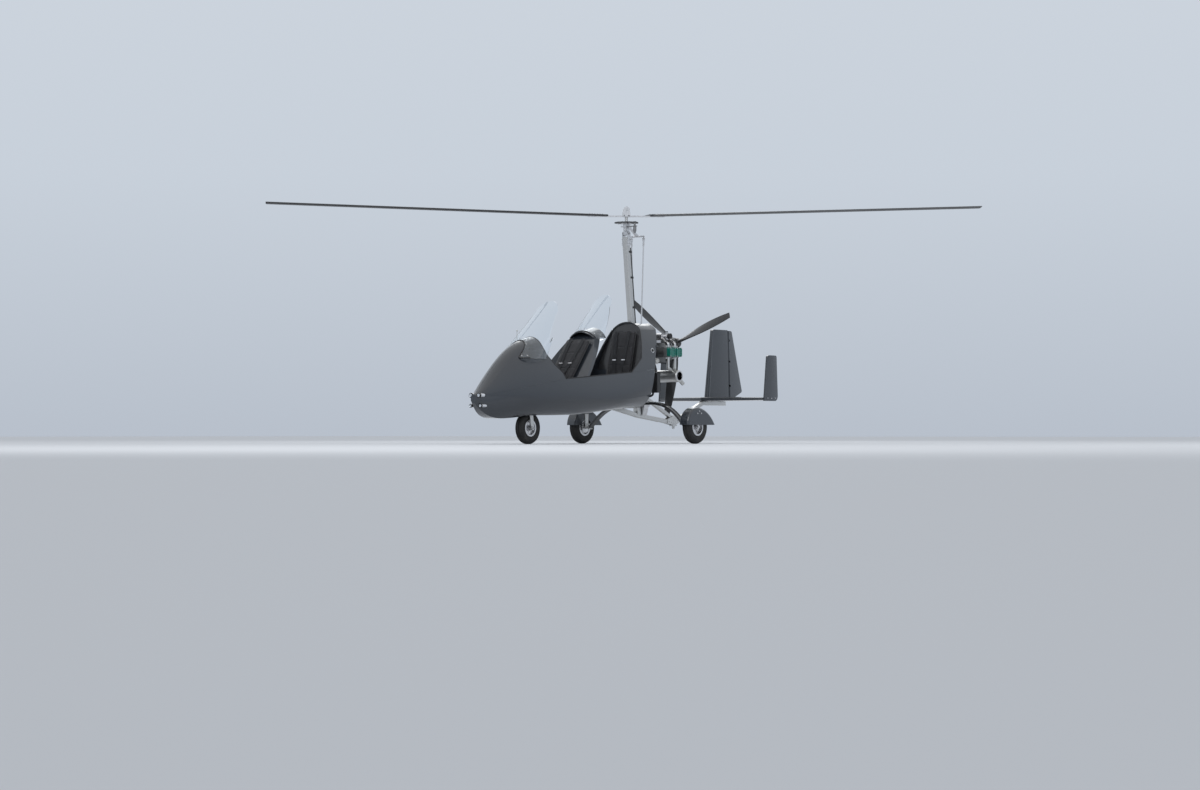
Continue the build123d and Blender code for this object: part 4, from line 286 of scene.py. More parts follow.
class Batch:
    """Collects small shapes of one finish on one body into a single piece."""

    def __init__(self, name, finish, body="airframe"):
        self.name = name
        self.material = MATERIALS[finish]
        self.slot = SLOT_OF.get(finish, finish)
        self.body = body
        self.points = []
        self.faces = []

    def add(self, points, faces):
        """Adds points and the faces between them."""
        start = len(self.points)
        self.points += [tuple(point) for point in points]
        self.faces += [tuple(start + index for index in face) for face in faces]

    def rings(self, points, sides, closed=False):
        """Adds rings of points, each joined to the next; an open row gets flat ends."""
        count = len(points) // sides
        faces = []
        for row in range(count if closed else count - 1):
            low = row * sides
            high = (row + 1) % count * sides
            for step in range(sides):
                after = (step + 1) % sides
                faces.append((low + step, low + after, high + after, high + step))
        if not closed:
            faces.append(tuple(reversed(range(sides))))
            faces.append(tuple(range((count - 1) * sides, count * sides)))
        self.add(points, faces)

    def lathe(self, place, axis, profile, sides, hollow=False):
        """Round shape of (distance along the axis, radius) rows; a hollow one is a ring."""
        turn = Vector(axis).normalized().to_track_quat("Z", "Y")
        points = [Vector(place) + turn @ Vector((x, y, along))
                  for along, radius in profile for x, y in circle(sides, radius)]
        self.rings(points, sides, hollow)

    def disc(self, place, axis, radius, height, sides):
        """Plain round disc, or a nut with six sides."""
        self.lathe(place, axis, [(0, radius), (height, radius)], sides)

    def bar(self, start, end, radius, sides=14, end_radius=None):
        """Straight round bar."""
        run = Vector(end) - Vector(start)
        tip = radius if end_radius is None else end_radius
        self.lathe(start, run, [(0, radius), (run.length, tip)], sides)

    def bolt(self, place, outward, size=0.006, washer=True):
        """Hexagon head on a washer."""
        outward = Vector(outward).normalized()
        place = Vector(place)
        if washer:
            self.disc(place - outward * 0.001, outward, size * 1.45, size * 0.3 + 0.001, 16)
        self.lathe(place, outward, [(0, size), (size, size), (size * 1.15, size * 0.8)], 6)

    def bolt_on(self, tree, start, outward, size):
        """Bolt on the skin that a ray meets on its way in from start."""
        hit = cast(tree, start, -Vector(outward))
        if hit:
            self.bolt(hit[0], outward, size)

    def box(self, low, high, turn=None, about=None):
        """Box between two corners; with a turn, they are measured from the point about."""
        xs, ys, zs = zip(low, high)
        points = [Vector((x, y, z)) for x in xs for y in ys for z in zs]
        if turn is not None:
            points = [Vector(about) + turn @ point for point in points]
        self.add(points, [(0, 1, 3, 2), (4, 6, 7, 5), (0, 4, 5, 1), (2, 3, 7, 6), (0, 2, 6, 4),
                          (1, 5, 7, 3)])

    def tube(self, path, radius, sides=10, closed=False):
        """Round tube along a smooth path of points."""
        path = [Vector(point) for point in path]
        count = len(path)
        points = []
        side = None
        for index, place in enumerate(path):
            before = path[index - 1] if index or closed else place
            after = path[(index + 1) % count] if index < count - 1 or closed else place
            run = (after - before).normalized()
            if side is None:
                side = run.orthogonal().normalized()
            side = (side - run * side.dot(run)).normalized()
            up = run.cross(side)
            points += [place + side * x + up * y for x, y in circle(sides, radius)]
        self.rings(points, sides, closed)

    def ribbon(self, path, across, width, thickness=0.0022):
        """Flat webbing along a path; across gives its width direction."""
        path = [Vector(point) for point in path]
        points = []
        for index, place in enumerate(path):
            before = path[max(index - 1, 0)]
            after = path[min(index + 1, len(path) - 1)]
            run = (after - before).normalized()
            side = (Vector(across) - run * Vector(across).dot(run)).normalized()
            up = run.cross(side) * thickness / 2
            half = side * width / 2
            points += [place - half - up, place + half - up, place + half + up,
                       place - half + up]
        self.rings(points, 4)

    def build(self, angle=35.0):
        """Makes the piece and puts it on its body."""
        mesh = bpy.data.meshes.new(self.name)
        mesh.from_pydata(self.points, [], self.faces)
        mesh.materials.append(self.material)
        piece = bpy.data.objects.new(self.name, mesh)
        bpy.context.collection.objects.link(piece)
        mesh.shade_smooth()
        mesh.set_sharp_from_angle(angle=math.radians(angle))
        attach(piece, self.body)
        return piece


def skin(node):
    """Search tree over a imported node's surface."""
    thing = frame["nodes"][node]
    mesh = thing.data
    points = [thing.matrix_world @ vertex.co for vertex in mesh.vertices]
    return BVHTree.FromPolygons(points, [tuple(face.vertices) for face in mesh.polygons])


def cast(tree, origin, direction):
    """First point and outward normal that a ray meets, or None."""
    direction = Vector(direction).normalized()
    place, normal = tree.ray_cast(Vector(origin), direction)[:2]
    if place is None:
        return None
    return place, (-normal if normal.dot(direction) > 0 else normal)


def bezier_path(points, count):
    """Smooth path through a few points."""
    points = [Vector(point) for point in points]
    padded = [points[0] * 2 - points[1]] + points + [points[-1] * 2 - points[-2]]
    path = []
    pieces = len(points) - 1
    for step in range(count + 1):
        along = step / count * pieces
        index = min(int(along), pieces - 1)
        t = along - index
        a, b, c, d = padded[index:index + 4]
        path.append(0.5 * ((2 * b) + (c - a) * t + (2 * a - 5 * b + 4 * c - d) * t * t
                           + (3 * b - a - 3 * c + d) * t ** 3))
    return path


SIDES = (1, -1)

# Places that the pieces share, and the parked blades' turn from +X in degrees
BLADE_TURN = 42
CRANK_Z = 1.080
PROP_Z = 1.205
HUB_BAR_Z = 2.667
TEETER_Z = 2.742
RING_LOW_Z = 2.584
RING_HIGH_Z = 2.596
ROD_ARM = (0.090, 0.214, 2.416)
MAIN_AXLE = (0.840, 0.2105, 0.195)
NOSE_AXLE = (0.0, -1.790, 0.180)


# Pod trim

def between(*line):
    """Evenly spaced (y, z) points along corners; the line names the steps between each two."""
    found = [line[0]]
    for start, count, end in zip(line[::2], line[1::2], line[2::2]):
        found += [(start[0] + (end[0] - start[0]) * step / count,
                   start[1] + (end[1] - start[1]) * step / count) for step in range(1, count + 1)]
    return found


def side_points(tree, line, side, shift=(0, 0)):
    """Points on the pod's skin at (y, z) places seen from one side."""
    found = []
    for y, z in line:
        hit = cast(tree, (side, y + shift[0], z + shift[1]), (-side, 0, 0))
        if hit:
            found.append(Vector((hit[0].x, y, z)))
    return found


def crown_points(tree, y_at, heart_z, low_angle, count, shift_y):
    """Points over the pod's crown from one side to the other, in a steep plane."""
    found = []
    for step in range(count + 1):
        angle = math.radians(low_angle + (180 - 2 * low_angle) * step / count)
        z = heart_z + 0.4 * math.sin(angle)
        for _ in range(3):
            y = y_at(z)
            away = Vector((math.cos(angle), 0, math.sin(angle)))
            hit = cast(tree, Vector((0, y + shift_y, heart_z)) + away, -away)
            if hit is None:
                break
            z = hit[0].z
        if hit:
            found.append(Vector((hit[0].x, y_at(hit[0].z), hit[0].z)))
    return found


def cockpit_beading():
    """Rubber edging round both cockpit openings."""
    bead = Batch("cockpit_beading", "rubber")
    tub = skin("hull_tub")
    hood = skin("nose_hood")
    deck = skin("rear_deck")
    radius = 0.0055
    sill = between((-1.520, 0.7324), 30, (-0.366, 0.8266))
    for side in SIDES:
        bead.tube(side_points(tub, sill, side, (0, -0.006)), radius)
    for side in SIDES:
        low = between((-1.525, 0.738), 3, (-1.555, 0.796), 6, (-1.658, 0.892), 6, (-1.732, 0.998))
        bead.tube(side_points(hood, low, side, (-0.006, 0.003)), radius)
        rear = between((-0.362, 0.832), 8, (-0.149, 0.991), 12, (-0.012, 1.335))
        bead.tube(side_points(deck, rear, side, (0.007, 0)), radius)
    over = crown_points(hood, lambda z: -1.732 - 0.1093 * (z - 0.998), 0.96, 12, 36, -0.005)
    bead.tube(over, radius)
    over = crown_points(deck, lambda z: min(0.0, -0.149 + 0.3984 * (z - 0.991)), 1.13, 48, 30,
                        0.006)
    bead.tube(over, radius)
    bead.build(60)


def panel_screws():
    """Flush screws along the joints of the pod's shells."""
    screws = Batch("panel_screws", "dark_steel")
    tub = skin("hull_tub")
    deck = skin("rear_deck")
    hood = skin("nose_hood")
    rows = (
        (tub, between((-2.60, 0.5265), 9, (-1.60, 0.7040))),
        (hood, between((-2.60, 0.5565), 9, (-1.66, 0.7230))),
        (tub, between((-0.33, 0.8180), 4, (0.07, 0.8560))),
        (deck, between((-0.28, 0.8500), 4, (0.07, 0.8880))),
    )
    for tree, row in rows:
        for y, z in row:
            for side in SIDES:
                hit = cast(tree, (side, y, z), (-side, 0, 0))
                if hit:
                    screws.lathe(hit[0] - hit[1] * 0.001, hit[1],
                                 [(0, 0.0048), (0.0018, 0.0048), (0.0024, 0.0030)], 12)
    screws.build()


def screen_trim(node, name, half_width, high_z, low_z, count):
    """Rubber strip along a windscreen's foot, and its screws."""
    tree = skin(node)
    foot = []
    screws = Batch(name + "_screws", "bolt")
    for step in range(count + 1):
        x = -half_width + 2 * half_width * step / count
        last = None
        z = high_z
        while z > low_z:
            hit = cast(tree, (x, -3.0, z), (0, 1, 0))
            if hit:
                last = hit
            elif last:
                break
            z -= 0.004
        if last:
            foot.append(last[0])
            above = cast(tree, (x, -3.0, last[0].z + 0.026), (0, 1, 0))
            if above and step % 3 == 1:
                screws.lathe(above[0] - above[1] * 0.001, above[1],
                             [(0, 0.0062), (0.003, 0.0062), (0.0042, 0.004)], 12)
    strip = Batch(name + "_strip", "rubber")
    strip.tube(foot, 0.0065)
    strip.build(60)
    screws.build()


def lamps():
    """Lenses, reflectors and bezels of the nose lamps."""
    bezels = Batch("lamp_bezels", "black_plastic")
    bowls = Batch("lamp_reflectors", "lamp")
    lenses = Batch("lamp_lenses", "lens")
    # x, z, front y, radius
    for x, z, front_y, radius in ((0.058, 0.535, -2.680, 0.025), (0.072, 0.422, -2.668, 0.019)):
        for side in SIDES:
            bezels.lathe((side * x, front_y + 0.012, z), (0, -1, 0),
                         [(0, radius + 0.0006), (0.016, radius + 0.0022), (0.019, radius),
                          (0.019, radius * 0.86), (0.0125, radius * 0.86)], 28, hollow=True)
            bowls.lathe((side * x, front_y, z), (0, -1, 0),
                        [(0.0003, radius * 0.84), (0.0045, radius * 0.84), (0.001, radius * 0.3),
                         (0.0028, radius * 0.26), (0.0030, 0.0005)], 28)
            lenses.lathe((side * x, front_y - 0.0055, z), (0, -1, 0),
                         [(0, radius * 0.85), (0.0012, radius * 0.85), (0.0042, radius * 0.6),
                          (0.0056, radius * 0.25), (0.0058, 0.0005)], 28)
    bezels.build()
    bowls.build(50)
    lenses.build(50)


# Cockpit

def instruments():
    """Round instruments in the panel's wells."""
    dials = Batch("dial_faces", "dial")
    marks = Batch("dial_marks", "white_mark")
    bezels = Batch("dial_bezels", "black_plastic")
    face_y = -1.778
    # x, z, radius, needle angle
    for x, z, radius, angle in ((-0.090, 1.000, 0.038, 220), (0, 1.010, 0.040, 140),
                                (0.090, 1.000, 0.038, 200), (-0.060, 0.905, 0.030, 250),
                                (0.060, 0.905, 0.030, 160)):
        well = radius - 0.0015
        dials.disc((x, face_y - 0.004, z), (0, 1, 0), well, 0.0015, 32)
        bezels.lathe((x, face_y - 0.001, z), (0, 1, 0),
                     [(0, radius + 0.003), (0.004, radius + 0.002), (0.004, well - 0.002),
                      (0.0, well - 0.002)], 32, hollow=True)
        for tick, (dx, dz) in enumerate(circle(12, 1.0)):
            inner = well * (0.82 if tick % 3 else 0.74)
            away = Vector((dx, 0, dz))
            start = Vector((x, face_y - 0.0022, z)) + away * inner
            marks.bar(start, start + away * (well * 0.9 - inner), 0.0007, 4)
        turn = math.radians(angle)
        away = Vector((math.cos(turn), 0, math.sin(turn)))
        hub = Vector((x, face_y - 0.0018, z))
        marks.bar(hub, hub + away * well * 0.72, 0.0011, 4, 0.0004)
        marks.lathe(hub - Vector((0, 0.0008, 0)), (0, 1, 0), [(0, 0.004), (0.002, 0.003)], 12)
    # switches below the dials
    for index in range(5):
        x = -0.06 + 0.03 * index
        bezels.disc((x, face_y, 0.850), (0, 1, 0), 0.006, 0.003, 12)
        marks.bar((x, face_y + 0.003, 0.850), (x, face_y + 0.012, 0.854), 0.0018, 8)
    dials.build()
    marks.build()
    bezels.build()


def pad_grid(width, length, thickness, cell):
    """Closed box of even cells with soft corners, centred at the origin."""
    counts = [max(2, round(size / cell)) for size in (width, length, thickness)]
    made = bpy.data.meshes.new("pad_cage")
    index = {}
    points = []
    faces = []

    def vertex(i, j, k):
        key = (i, j, k)
        if key not in index:
            u, v, w = (2 * step / total - 1 for step, total in zip(key, counts))
            pull = 1 - 0.055 * (u * u * v * v)
            squash = 1 - 0.34 * max(abs(u) ** 6, abs(v) ** 6)
            index[key] = len(points)
            points.append((u * width / 2 * pull, v * length / 2 * pull, w * thickness / 2 * squash))
        return index[key]

    def face(*corners):
        faces.append(tuple(vertex(*corner) for corner in corners))

    nx, ny, nz = counts
    for i in range(nx):
        for j in range(ny):
            face((i, j, nz), (i + 1, j, nz), (i + 1, j + 1, nz), (i, j + 1, nz))
            face((i, j + 1, 0), (i + 1, j + 1, 0), (i + 1, j, 0), (i, j, 0))
    for i in range(nx):
        for k in range(nz):
            face((i, 0, k), (i + 1, 0, k), (i + 1, 0, k + 1), (i, 0, k + 1))
            face((i, ny, k + 1), (i + 1, ny, k + 1), (i + 1, ny, k), (i, ny, k))
    for j in range(ny):
        for k in range(nz):
            face((0, j, k + 1), (0, j + 1, k + 1), (0, j + 1, k), (0, j, k))
            face((nx, j, k), (nx, j + 1, k), (nx, j + 1, k + 1), (nx, j, k + 1))
    made.from_pydata(points, [], faces)
    return made


def puff(thing, cap):
    """Blows a cushion's cover up with cloth, moving no point further than the cap."""
    start = [vertex.co.copy() for vertex in thing.data.vertices]
    cloth_modifier = thing.modifiers.new("Cloth", "CLOTH")
    settings = cloth_modifier.settings
    settings.quality = 5
    settings.mass = 0.3
    settings.tension_stiffness = 12
    settings.compression_stiffness = 12
    settings.bending_stiffness = 0.6
    settings.use_pressure = True
    settings.uniform_pressure_force = 4.0
    settings.effector_weights.gravity = 0.0
    scene = bpy.context.scene
    for number in range(1, 19):
        scene.frame_set(number)
        bpy.context.view_layer.update()
    graph = bpy.context.evaluated_depsgraph_get()
    shaped = thing.evaluated_get(graph)
    moved = [vertex.co.copy() for vertex in shaped.data.vertices]
    thing.modifiers.remove(cloth_modifier)
    scene.frame_set(1)
    for vertex, first, last in zip(thing.data.vertices, start, moved):
        shift = last - first
        if shift.length > cap:
            shift *= cap / shift.length
        vertex.co = first + shift


def sewn(mesh, width, length, lines, channel=0.005):
    """Presses sewn channels into a cushion's upper face; lines are (axis, place)."""
    for vertex in mesh.vertices:
        if vertex.co.z < 0.004:
            continue
        depth = 0.0
        u = abs(vertex.co.x) / (width / 2)
        v = abs(vertex.co.y) / (length / 2)
        fade = max(0.0, 1 - max(u, v) ** 8)
        for axis, place in lines:
            gap = (vertex.co.x if axis == "x" else vertex.co.y) - place
            depth = max(depth, math.exp(-(gap / 0.007) ** 2))
        vertex.co.z -= channel * depth * fade


def rounded_loop(width, length, corner, z, count=10):
    """Closed rounded rectangle of points at one height."""
    loop = []
    for cx, cy, start in ((1, 1, 0), (-1, 1, 90), (-1, -1, 180), (1, -1, 270)):
        for step in range(count + 1):
            angle = math.radians(start + 90 * step / count)
            loop.append(((width / 2 - corner) * cx + corner * math.cos(angle),
                         (length / 2 - corner) * cy + corner * math.sin(angle), z))
    return loop


def cushion(width, length, lines, place, along, normal):
    """One padded cushion's points and faces in the craft's frame, with its piping loop."""
    thickness = 0.052
    mesh = pad_grid(width - 0.014, length - 0.014, thickness - 0.012, 0.012)
    thing = bpy.data.objects.new("pad", mesh)
    bpy.context.collection.objects.link(thing)
    puff(thing, 0.007)
    subdivide = thing.modifiers.new("Subdivision", "SUBSURF")
    subdivide.levels = 1
    subdivide.render_levels = 1
    graph = bpy.context.evaluated_depsgraph_get()
    fine = bpy.data.meshes.new_from_object(thing.evaluated_get(graph))
    bpy.data.objects.remove(thing)
    sewn(fine, width, length, lines)
    along = Vector(along).normalized()
    normal = Vector(normal).normalized()
    across = along.cross(normal)
    turn = Matrix((across, along, normal)).transposed()
    place = Vector(place)
    points = [place + turn @ vertex.co for vertex in fine.vertices]
    faces = [tuple(face.vertices) for face in fine.polygons]
    loop = [place + turn @ Vector(point)
            for point in rounded_loop(width - 0.009, length - 0.009, 0.022, 0.0)]
    return points, faces, loop


def seats():
    """Padded cushions of both seats, with piping and harnesses."""
    front_along = Vector((0, 0.6037, 0.7972))
    rear_along = Vector((0, 0.2209, 0.9753))
    # name, pan centre, pan slope, back foot, back direction, back height
    table = (
        ("front", Vector((0, -1.510, 0.5800)), Vector((0, 0.3, -0.035)),
         Vector((0, -1.2516, 0.6968)), front_along, 0.627),
        ("rear", Vector((0, -0.420, 0.6700)), Vector((0, 0.3, -0.035)),
         Vector((0, -0.1645, 0.7361)), rear_along, 0.600),
    )
    for name, pan, slope, foot, along, height in table:
        pads = Batch("seat_pads_" + name, "seat_cloth")
        piping = Batch("seat_piping_" + name, "piping")
        slope = slope.normalized()
        pan_normal = Vector((0, -slope.z, slope.y))
        back_normal = Vector((0, -along.z, along.y))
        middle = foot + along * height / 2
        parts = (
            (0.400, 0.302, [("x", -0.075), ("x", 0.075), ("y", 0.02)], pan, slope, pan_normal),
            (0.360, height, [("x", -0.07), ("x", 0.07), ("y", -0.12), ("y", 0.10)], middle,
             along, back_normal),
        )
        for width, length, lines, place, run, normal in parts:
            points, faces, loop = cushion(width, length, lines, place, run, normal)
            pads.add(points, faces)
            piping.tube(loop, 0.0028, 8, closed=True)
        piece = pads.build(60)
        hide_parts("seat_" + name)
        piping.build(60)
        harness(name, pan, pan_normal, slope, foot, along, back_normal, height)


def harness(name, pan, pan_normal, slope, foot, along, back_normal, height):
    """Shoulder and lap belts lying on a seat, closed at a red buckle."""
    webbing = Batch("harness_" + name, "webbing")
    metal = Batch("harness_metal_" + name, "bolt")
    buckle = Batch("harness_buckle_" + name, "red_plastic")
    lift = 0.0345
    centre = pan + pan_normal * 0.037 + slope * 0.03
    turn = Matrix(((1, 0, 0), along, back_normal)).transposed()
    for side in SIDES:
        # height up the back, distance off it, distance from the middle
        rows = ((height - 0.012, 0.030, 0.090), (height * 0.72, lift, 0.085),
                (height * 0.40, lift, 0.066), (height * 0.12, lift + 0.012, 0.043))
        path = [foot + along * up + back_normal * off + sideways(side * x) for up, off, x in rows]
        path.append(centre + slope * 0.035 + pan_normal * 0.004 + sideways(side * 0.018))
        webbing.ribbon(bezier_path(path, 30), (1, 0, 0), 0.044)
        spot = foot + along * (height * 0.40) + back_normal * (lift + 0.002)
        metal.box((-0.026, -0.006, -0.002), (0.026, 0.006, 0.003), turn,
                  spot + sideways(side * 0.066))
        # distance from the middle, place along the pan, distance off it
        rows = ((0.196, 0.100, 0.004), (0.178, 0.085, 0.031), (0.100, 0.050, 0.0365))
        lap = [pan + sideways(side * x) + slope * up + pan_normal * off for x, up, off in rows]
        lap.append(centre + sideways(side * 0.026))
        webbing.ribbon(bezier_path(lap, 20), slope, 0.044)
    turn = Matrix(((1, 0, 0), slope, pan_normal)).transposed()
    buckle.lathe(centre - pan_normal * 0.002, pan_normal,
                 [(0, 0.030), (0.012, 0.030), (0.016, 0.025), (0.0165, 0.014), (0.0135, 0.012)], 28)
    metal.disc(centre - pan_normal * 0.003, pan_normal, 0.033, 0.007, 28)
    for side in SIDES:
        metal.box((-0.014, -0.019, -0.003), (0.014, 0.019, 0.004), turn,
                  centre + sideways(side * 0.032))
    webbing.build(60)
    metal.build()
    buckle.build()


def controls():
    """Stick buttons and grips, and the pedals of both seats."""
    dark = Batch("control_details", "black_plastic")
    metal = Batch("pedals", "alloy")
    red = Batch("control_buttons", "red_plastic")
    for y, top in ((-1.686, 0.810), (-0.674, 0.900)):
        red.lathe((0, y, top - 0.001), (0, 0.14, 1), [(0, 0.006), (0.004, 0.006), (0.006, 0.004)],
                  16)
        for step in range(4):
            ring_z = top - 0.02 - 0.022 * step
            dark.lathe((0, y - 0.0032 - 0.0032 * step, ring_z - 0.004), (0, 0.14, 1),
                       [(0, 0.0172), (0.002, 0.0185), (0.006, 0.0185), (0.008, 0.0172)], 20)
    # y, z, half spread, height of the floor
    for y, z, apart, floor_z in ((-2.20, 0.50, 0.085, 0.312), (-0.98, 0.46, 0.12, 0.363)):
        for side in SIDES:
            x = side * apart
            turn = Matrix.Rotation(math.radians(-32), 3, "X")
            metal.box((-0.036, -0.004, -0.03), (0.036, 0.004, 0.04), turn, (x, y, z))
            metal.bar((x, y, z - 0.02), (x, y + 0.03, floor_z), 0.007)
            for row in range(3):
                rib = -0.012 + 0.018 * row
                dark.box((-0.032, 0.004, rib), (0.032, 0.0075, rib + 0.006), turn, (x, y, z))
    metal.build()
    dark.build()
    red.build()


# Engine

def cylinder_fittings(bolts, white, black, metal):
    """Cover bolts, plugs and their leads, and pipe flanges of the four cylinders."""
    for side, y in ((1, 0.492), (1, 0.622), (-1, 0.520), (-1, 0.650)):
        for dy in (-0.042, 0.042):
            for dz in (-0.0465, 0.0465):
                bolts.bolt((side * 0.312, y + dy, CRANK_Z + dz), (side, 0, 0), 0.0045)
        for dy, up in ((-0.038, 1), (0.038, 1), (-0.038, -1)):
            foot = Vector((side * 0.243, y + dy, CRANK_Z + up * 0.061))
            white.bar(foot, foot + upward(up * 0.022), 0.0065, 12)
            bolts.disc(foot, (0, 0, up), 0.010, 0.007, 6)
            cap = foot + upward(up * 0.018)
            black.bar(cap, cap + upward(up * 0.030), 0.0095, 14, 0.0075)
            top = cap + upward(up * 0.028)
            if up > 0:
                path = [top, top + Vector((-side * 0.006, -0.004, 0.030))]
                path += mirrored(side, ((0.180, y + dy - 0.03, 1.235), (0.172, 0.448, 1.238),
                                        (0.120, 0.400, 1.226), (0.072, 0.405, 1.218)))
            else:
                path = [top, top + Vector((-side * 0.012, 0, -0.030))]
                path += mirrored(side, ((0.150, y + dy - 0.02, 0.955), (0.105, 0.425, 0.978),
                                        (0.070, 0.402, 1.010)))
            black.tube(bezier_path(path, 26), 0.0036, 8)
        flange = Vector((side * 0.240, y, CRANK_Z - 0.0625))
        metal.disc(flange, (0, 0, -1), 0.028, 0.007, 24)
        for dy in (-0.020, 0.020):
            bolts.bolt(flange + Vector((0, dy, -0.007)), (0, 0, -1), 0.0035, False)
        metal.disc((side * 0.240, y, CRANK_Z + 0.070), (0, 0, 1), 0.0198, 0.009, 24)
        metal.disc((side * 0.134, y, 1.2558), (side * 0.104, 0, -0.074), 0.0205, 0.010, 24)


def carburettors(metal, black):
    """Both carburettors with their float bowls, caps and air filters."""
    for side, y in ((1, 0.557), (-1, 0.585)):
        start = Vector((side * 0.146, y, 1.272))
        middle = start + sideways(side * 0.026)
        metal.bar(start, start + sideways(side * 0.052), 0.026, 24)
        metal.lathe(middle + upward(-0.052), (0, 0, 1),
                    [(0, 0.014), (0.006, 0.021), (0.034, 0.021)], 20)
        metal.bar(middle + upward(0.012), middle + upward(0.046), 0.020, 20)
        black.bar(middle + upward(0.044), middle + upward(0.058), 0.017, 20, 0.013)
        black.lathe(start + sideways(side * 0.050), (side, 0, 0),
                    [(0, 0.030), (0.004, 0.033), (0.034, 0.033), (0.038, 0.028)], 24)


def coolant(hoses, metal):
    """Upper hoses with clamps, and lower hoses that meet in the middle."""
    for side in SIDES:
        path = mirrored(side, ((0.150, 0.375, 0.826), (0.152, 0.372, 0.870), (0.140, 0.362, 0.930),
                               (0.112, 0.368, 0.975), (0.086, 0.400, 0.990),
                               (0.070, 0.425, 0.990)))
        hoses.tube(bezier_path(path, 30), 0.0125, 14)
        for place, run in ((path[0], (0, 0, 1)), (path[4], (-side * 0.5, 1, 0))):
            metal.disc(Vector(place) + upward(0.010) * abs(run[2]), run, 0.0138, 0.008, 20)
        path = mirrored(side, ((0.128, 0.352, 0.604), (0.126, 0.335, 0.572), (0.090, 0.318, 0.556),
                               (0.030, 0.310, 0.560), (0, 0.309, 0.562)))
        hoses.tube(bezier_path(path, 24), 0.0125, 14)


def engine_fittings():
    """Fittings of the engine, one piece for each finish."""
    bolts = Batch("engine_bolts", "bolt")
    white = Batch("plug_bodies", "white_mark")
    black = Batch("plug_caps_leads", "rubber")
    metal = Batch("engine_metal", "alloy")
    hoses = Batch("coolant_hoses", "rubber")
    cylinder_fittings(bolts, white, black, metal)
    carburettors(metal, black)
    coolant(hoses, metal)
    for side in SIDES:
        for row in range(6):
            y = 0.420 + 0.055 * row
            for z in (CRANK_Z + 0.066, CRANK_Z - 0.054):
                bolts.bolt((side * 0.0875, y, z), (side, 0, 0), 0.004)
    oil_filter = Batch("oil_filter", "white_mark")
    oil_filter.lathe((0.058, 0.424, 0.990), (1, 0, -0.25),
                     [(0, 0.030), (0.010, 0.034), (0.080, 0.034), (0.086, 0.028)], 28)
    for middle_z, count, radius in ((CRANK_Z, 8, 0.074), (PROP_Z, 6, 0.066)):
        for x, dz in circle(count, radius, math.pi / count):
            z = middle_z + dz
            # none where both gearbox rims meet
            if abs(x) >= 0.06 or abs(z - 1.142) >= 0.045:
                bolts.bolt((x, 0.862, z), (0, 1, 0), 0.005)
    for side in SIDES:
        metal.lathe((side * 0.2685, 0.680, 0.800), (side, 0, 0),
                    [(0, 0.062), (0.003, 0.0625), (0.003, 0.052), (0.0015, 0.050)], 32)
        for y in (0.712, 0.648):
            bolts.bolt((side * 0.270, y, 0.800), (side, 0, 0), 0.004, False)
    hub = Batch("propeller_bolts", "bolt", "propeller")
    for x, dz in circle(6, 0.0545, math.radians(15)):
        hub.bolt((x, 0.9885, PROP_Z + dz), (0, 1, 0), 0.0042, False)
    for batch in (oil_filter, bolts, white, black, metal, hoses, hub):
        batch.build()


def cooler_cores():
    """Fine fins and tubes on both faces of the coolers."""
    core = Batch("cooler_fins", "core")
    for side in SIDES:
        low = min(side * 0.103, side * 0.187)
        for step in range(31):
            z = 0.6215 + 0.0062 * step
            core.box((low, 0.3435, z), (low + 0.084, 0.4065, z + 0.0016))
        for step in range(7):
            x = low + 0.004 + 0.0122 * step
            core.box((x, 0.3440, 0.617), (x + 0.0022, 0.4060, 0.813))
    core.build()


# Rotor head

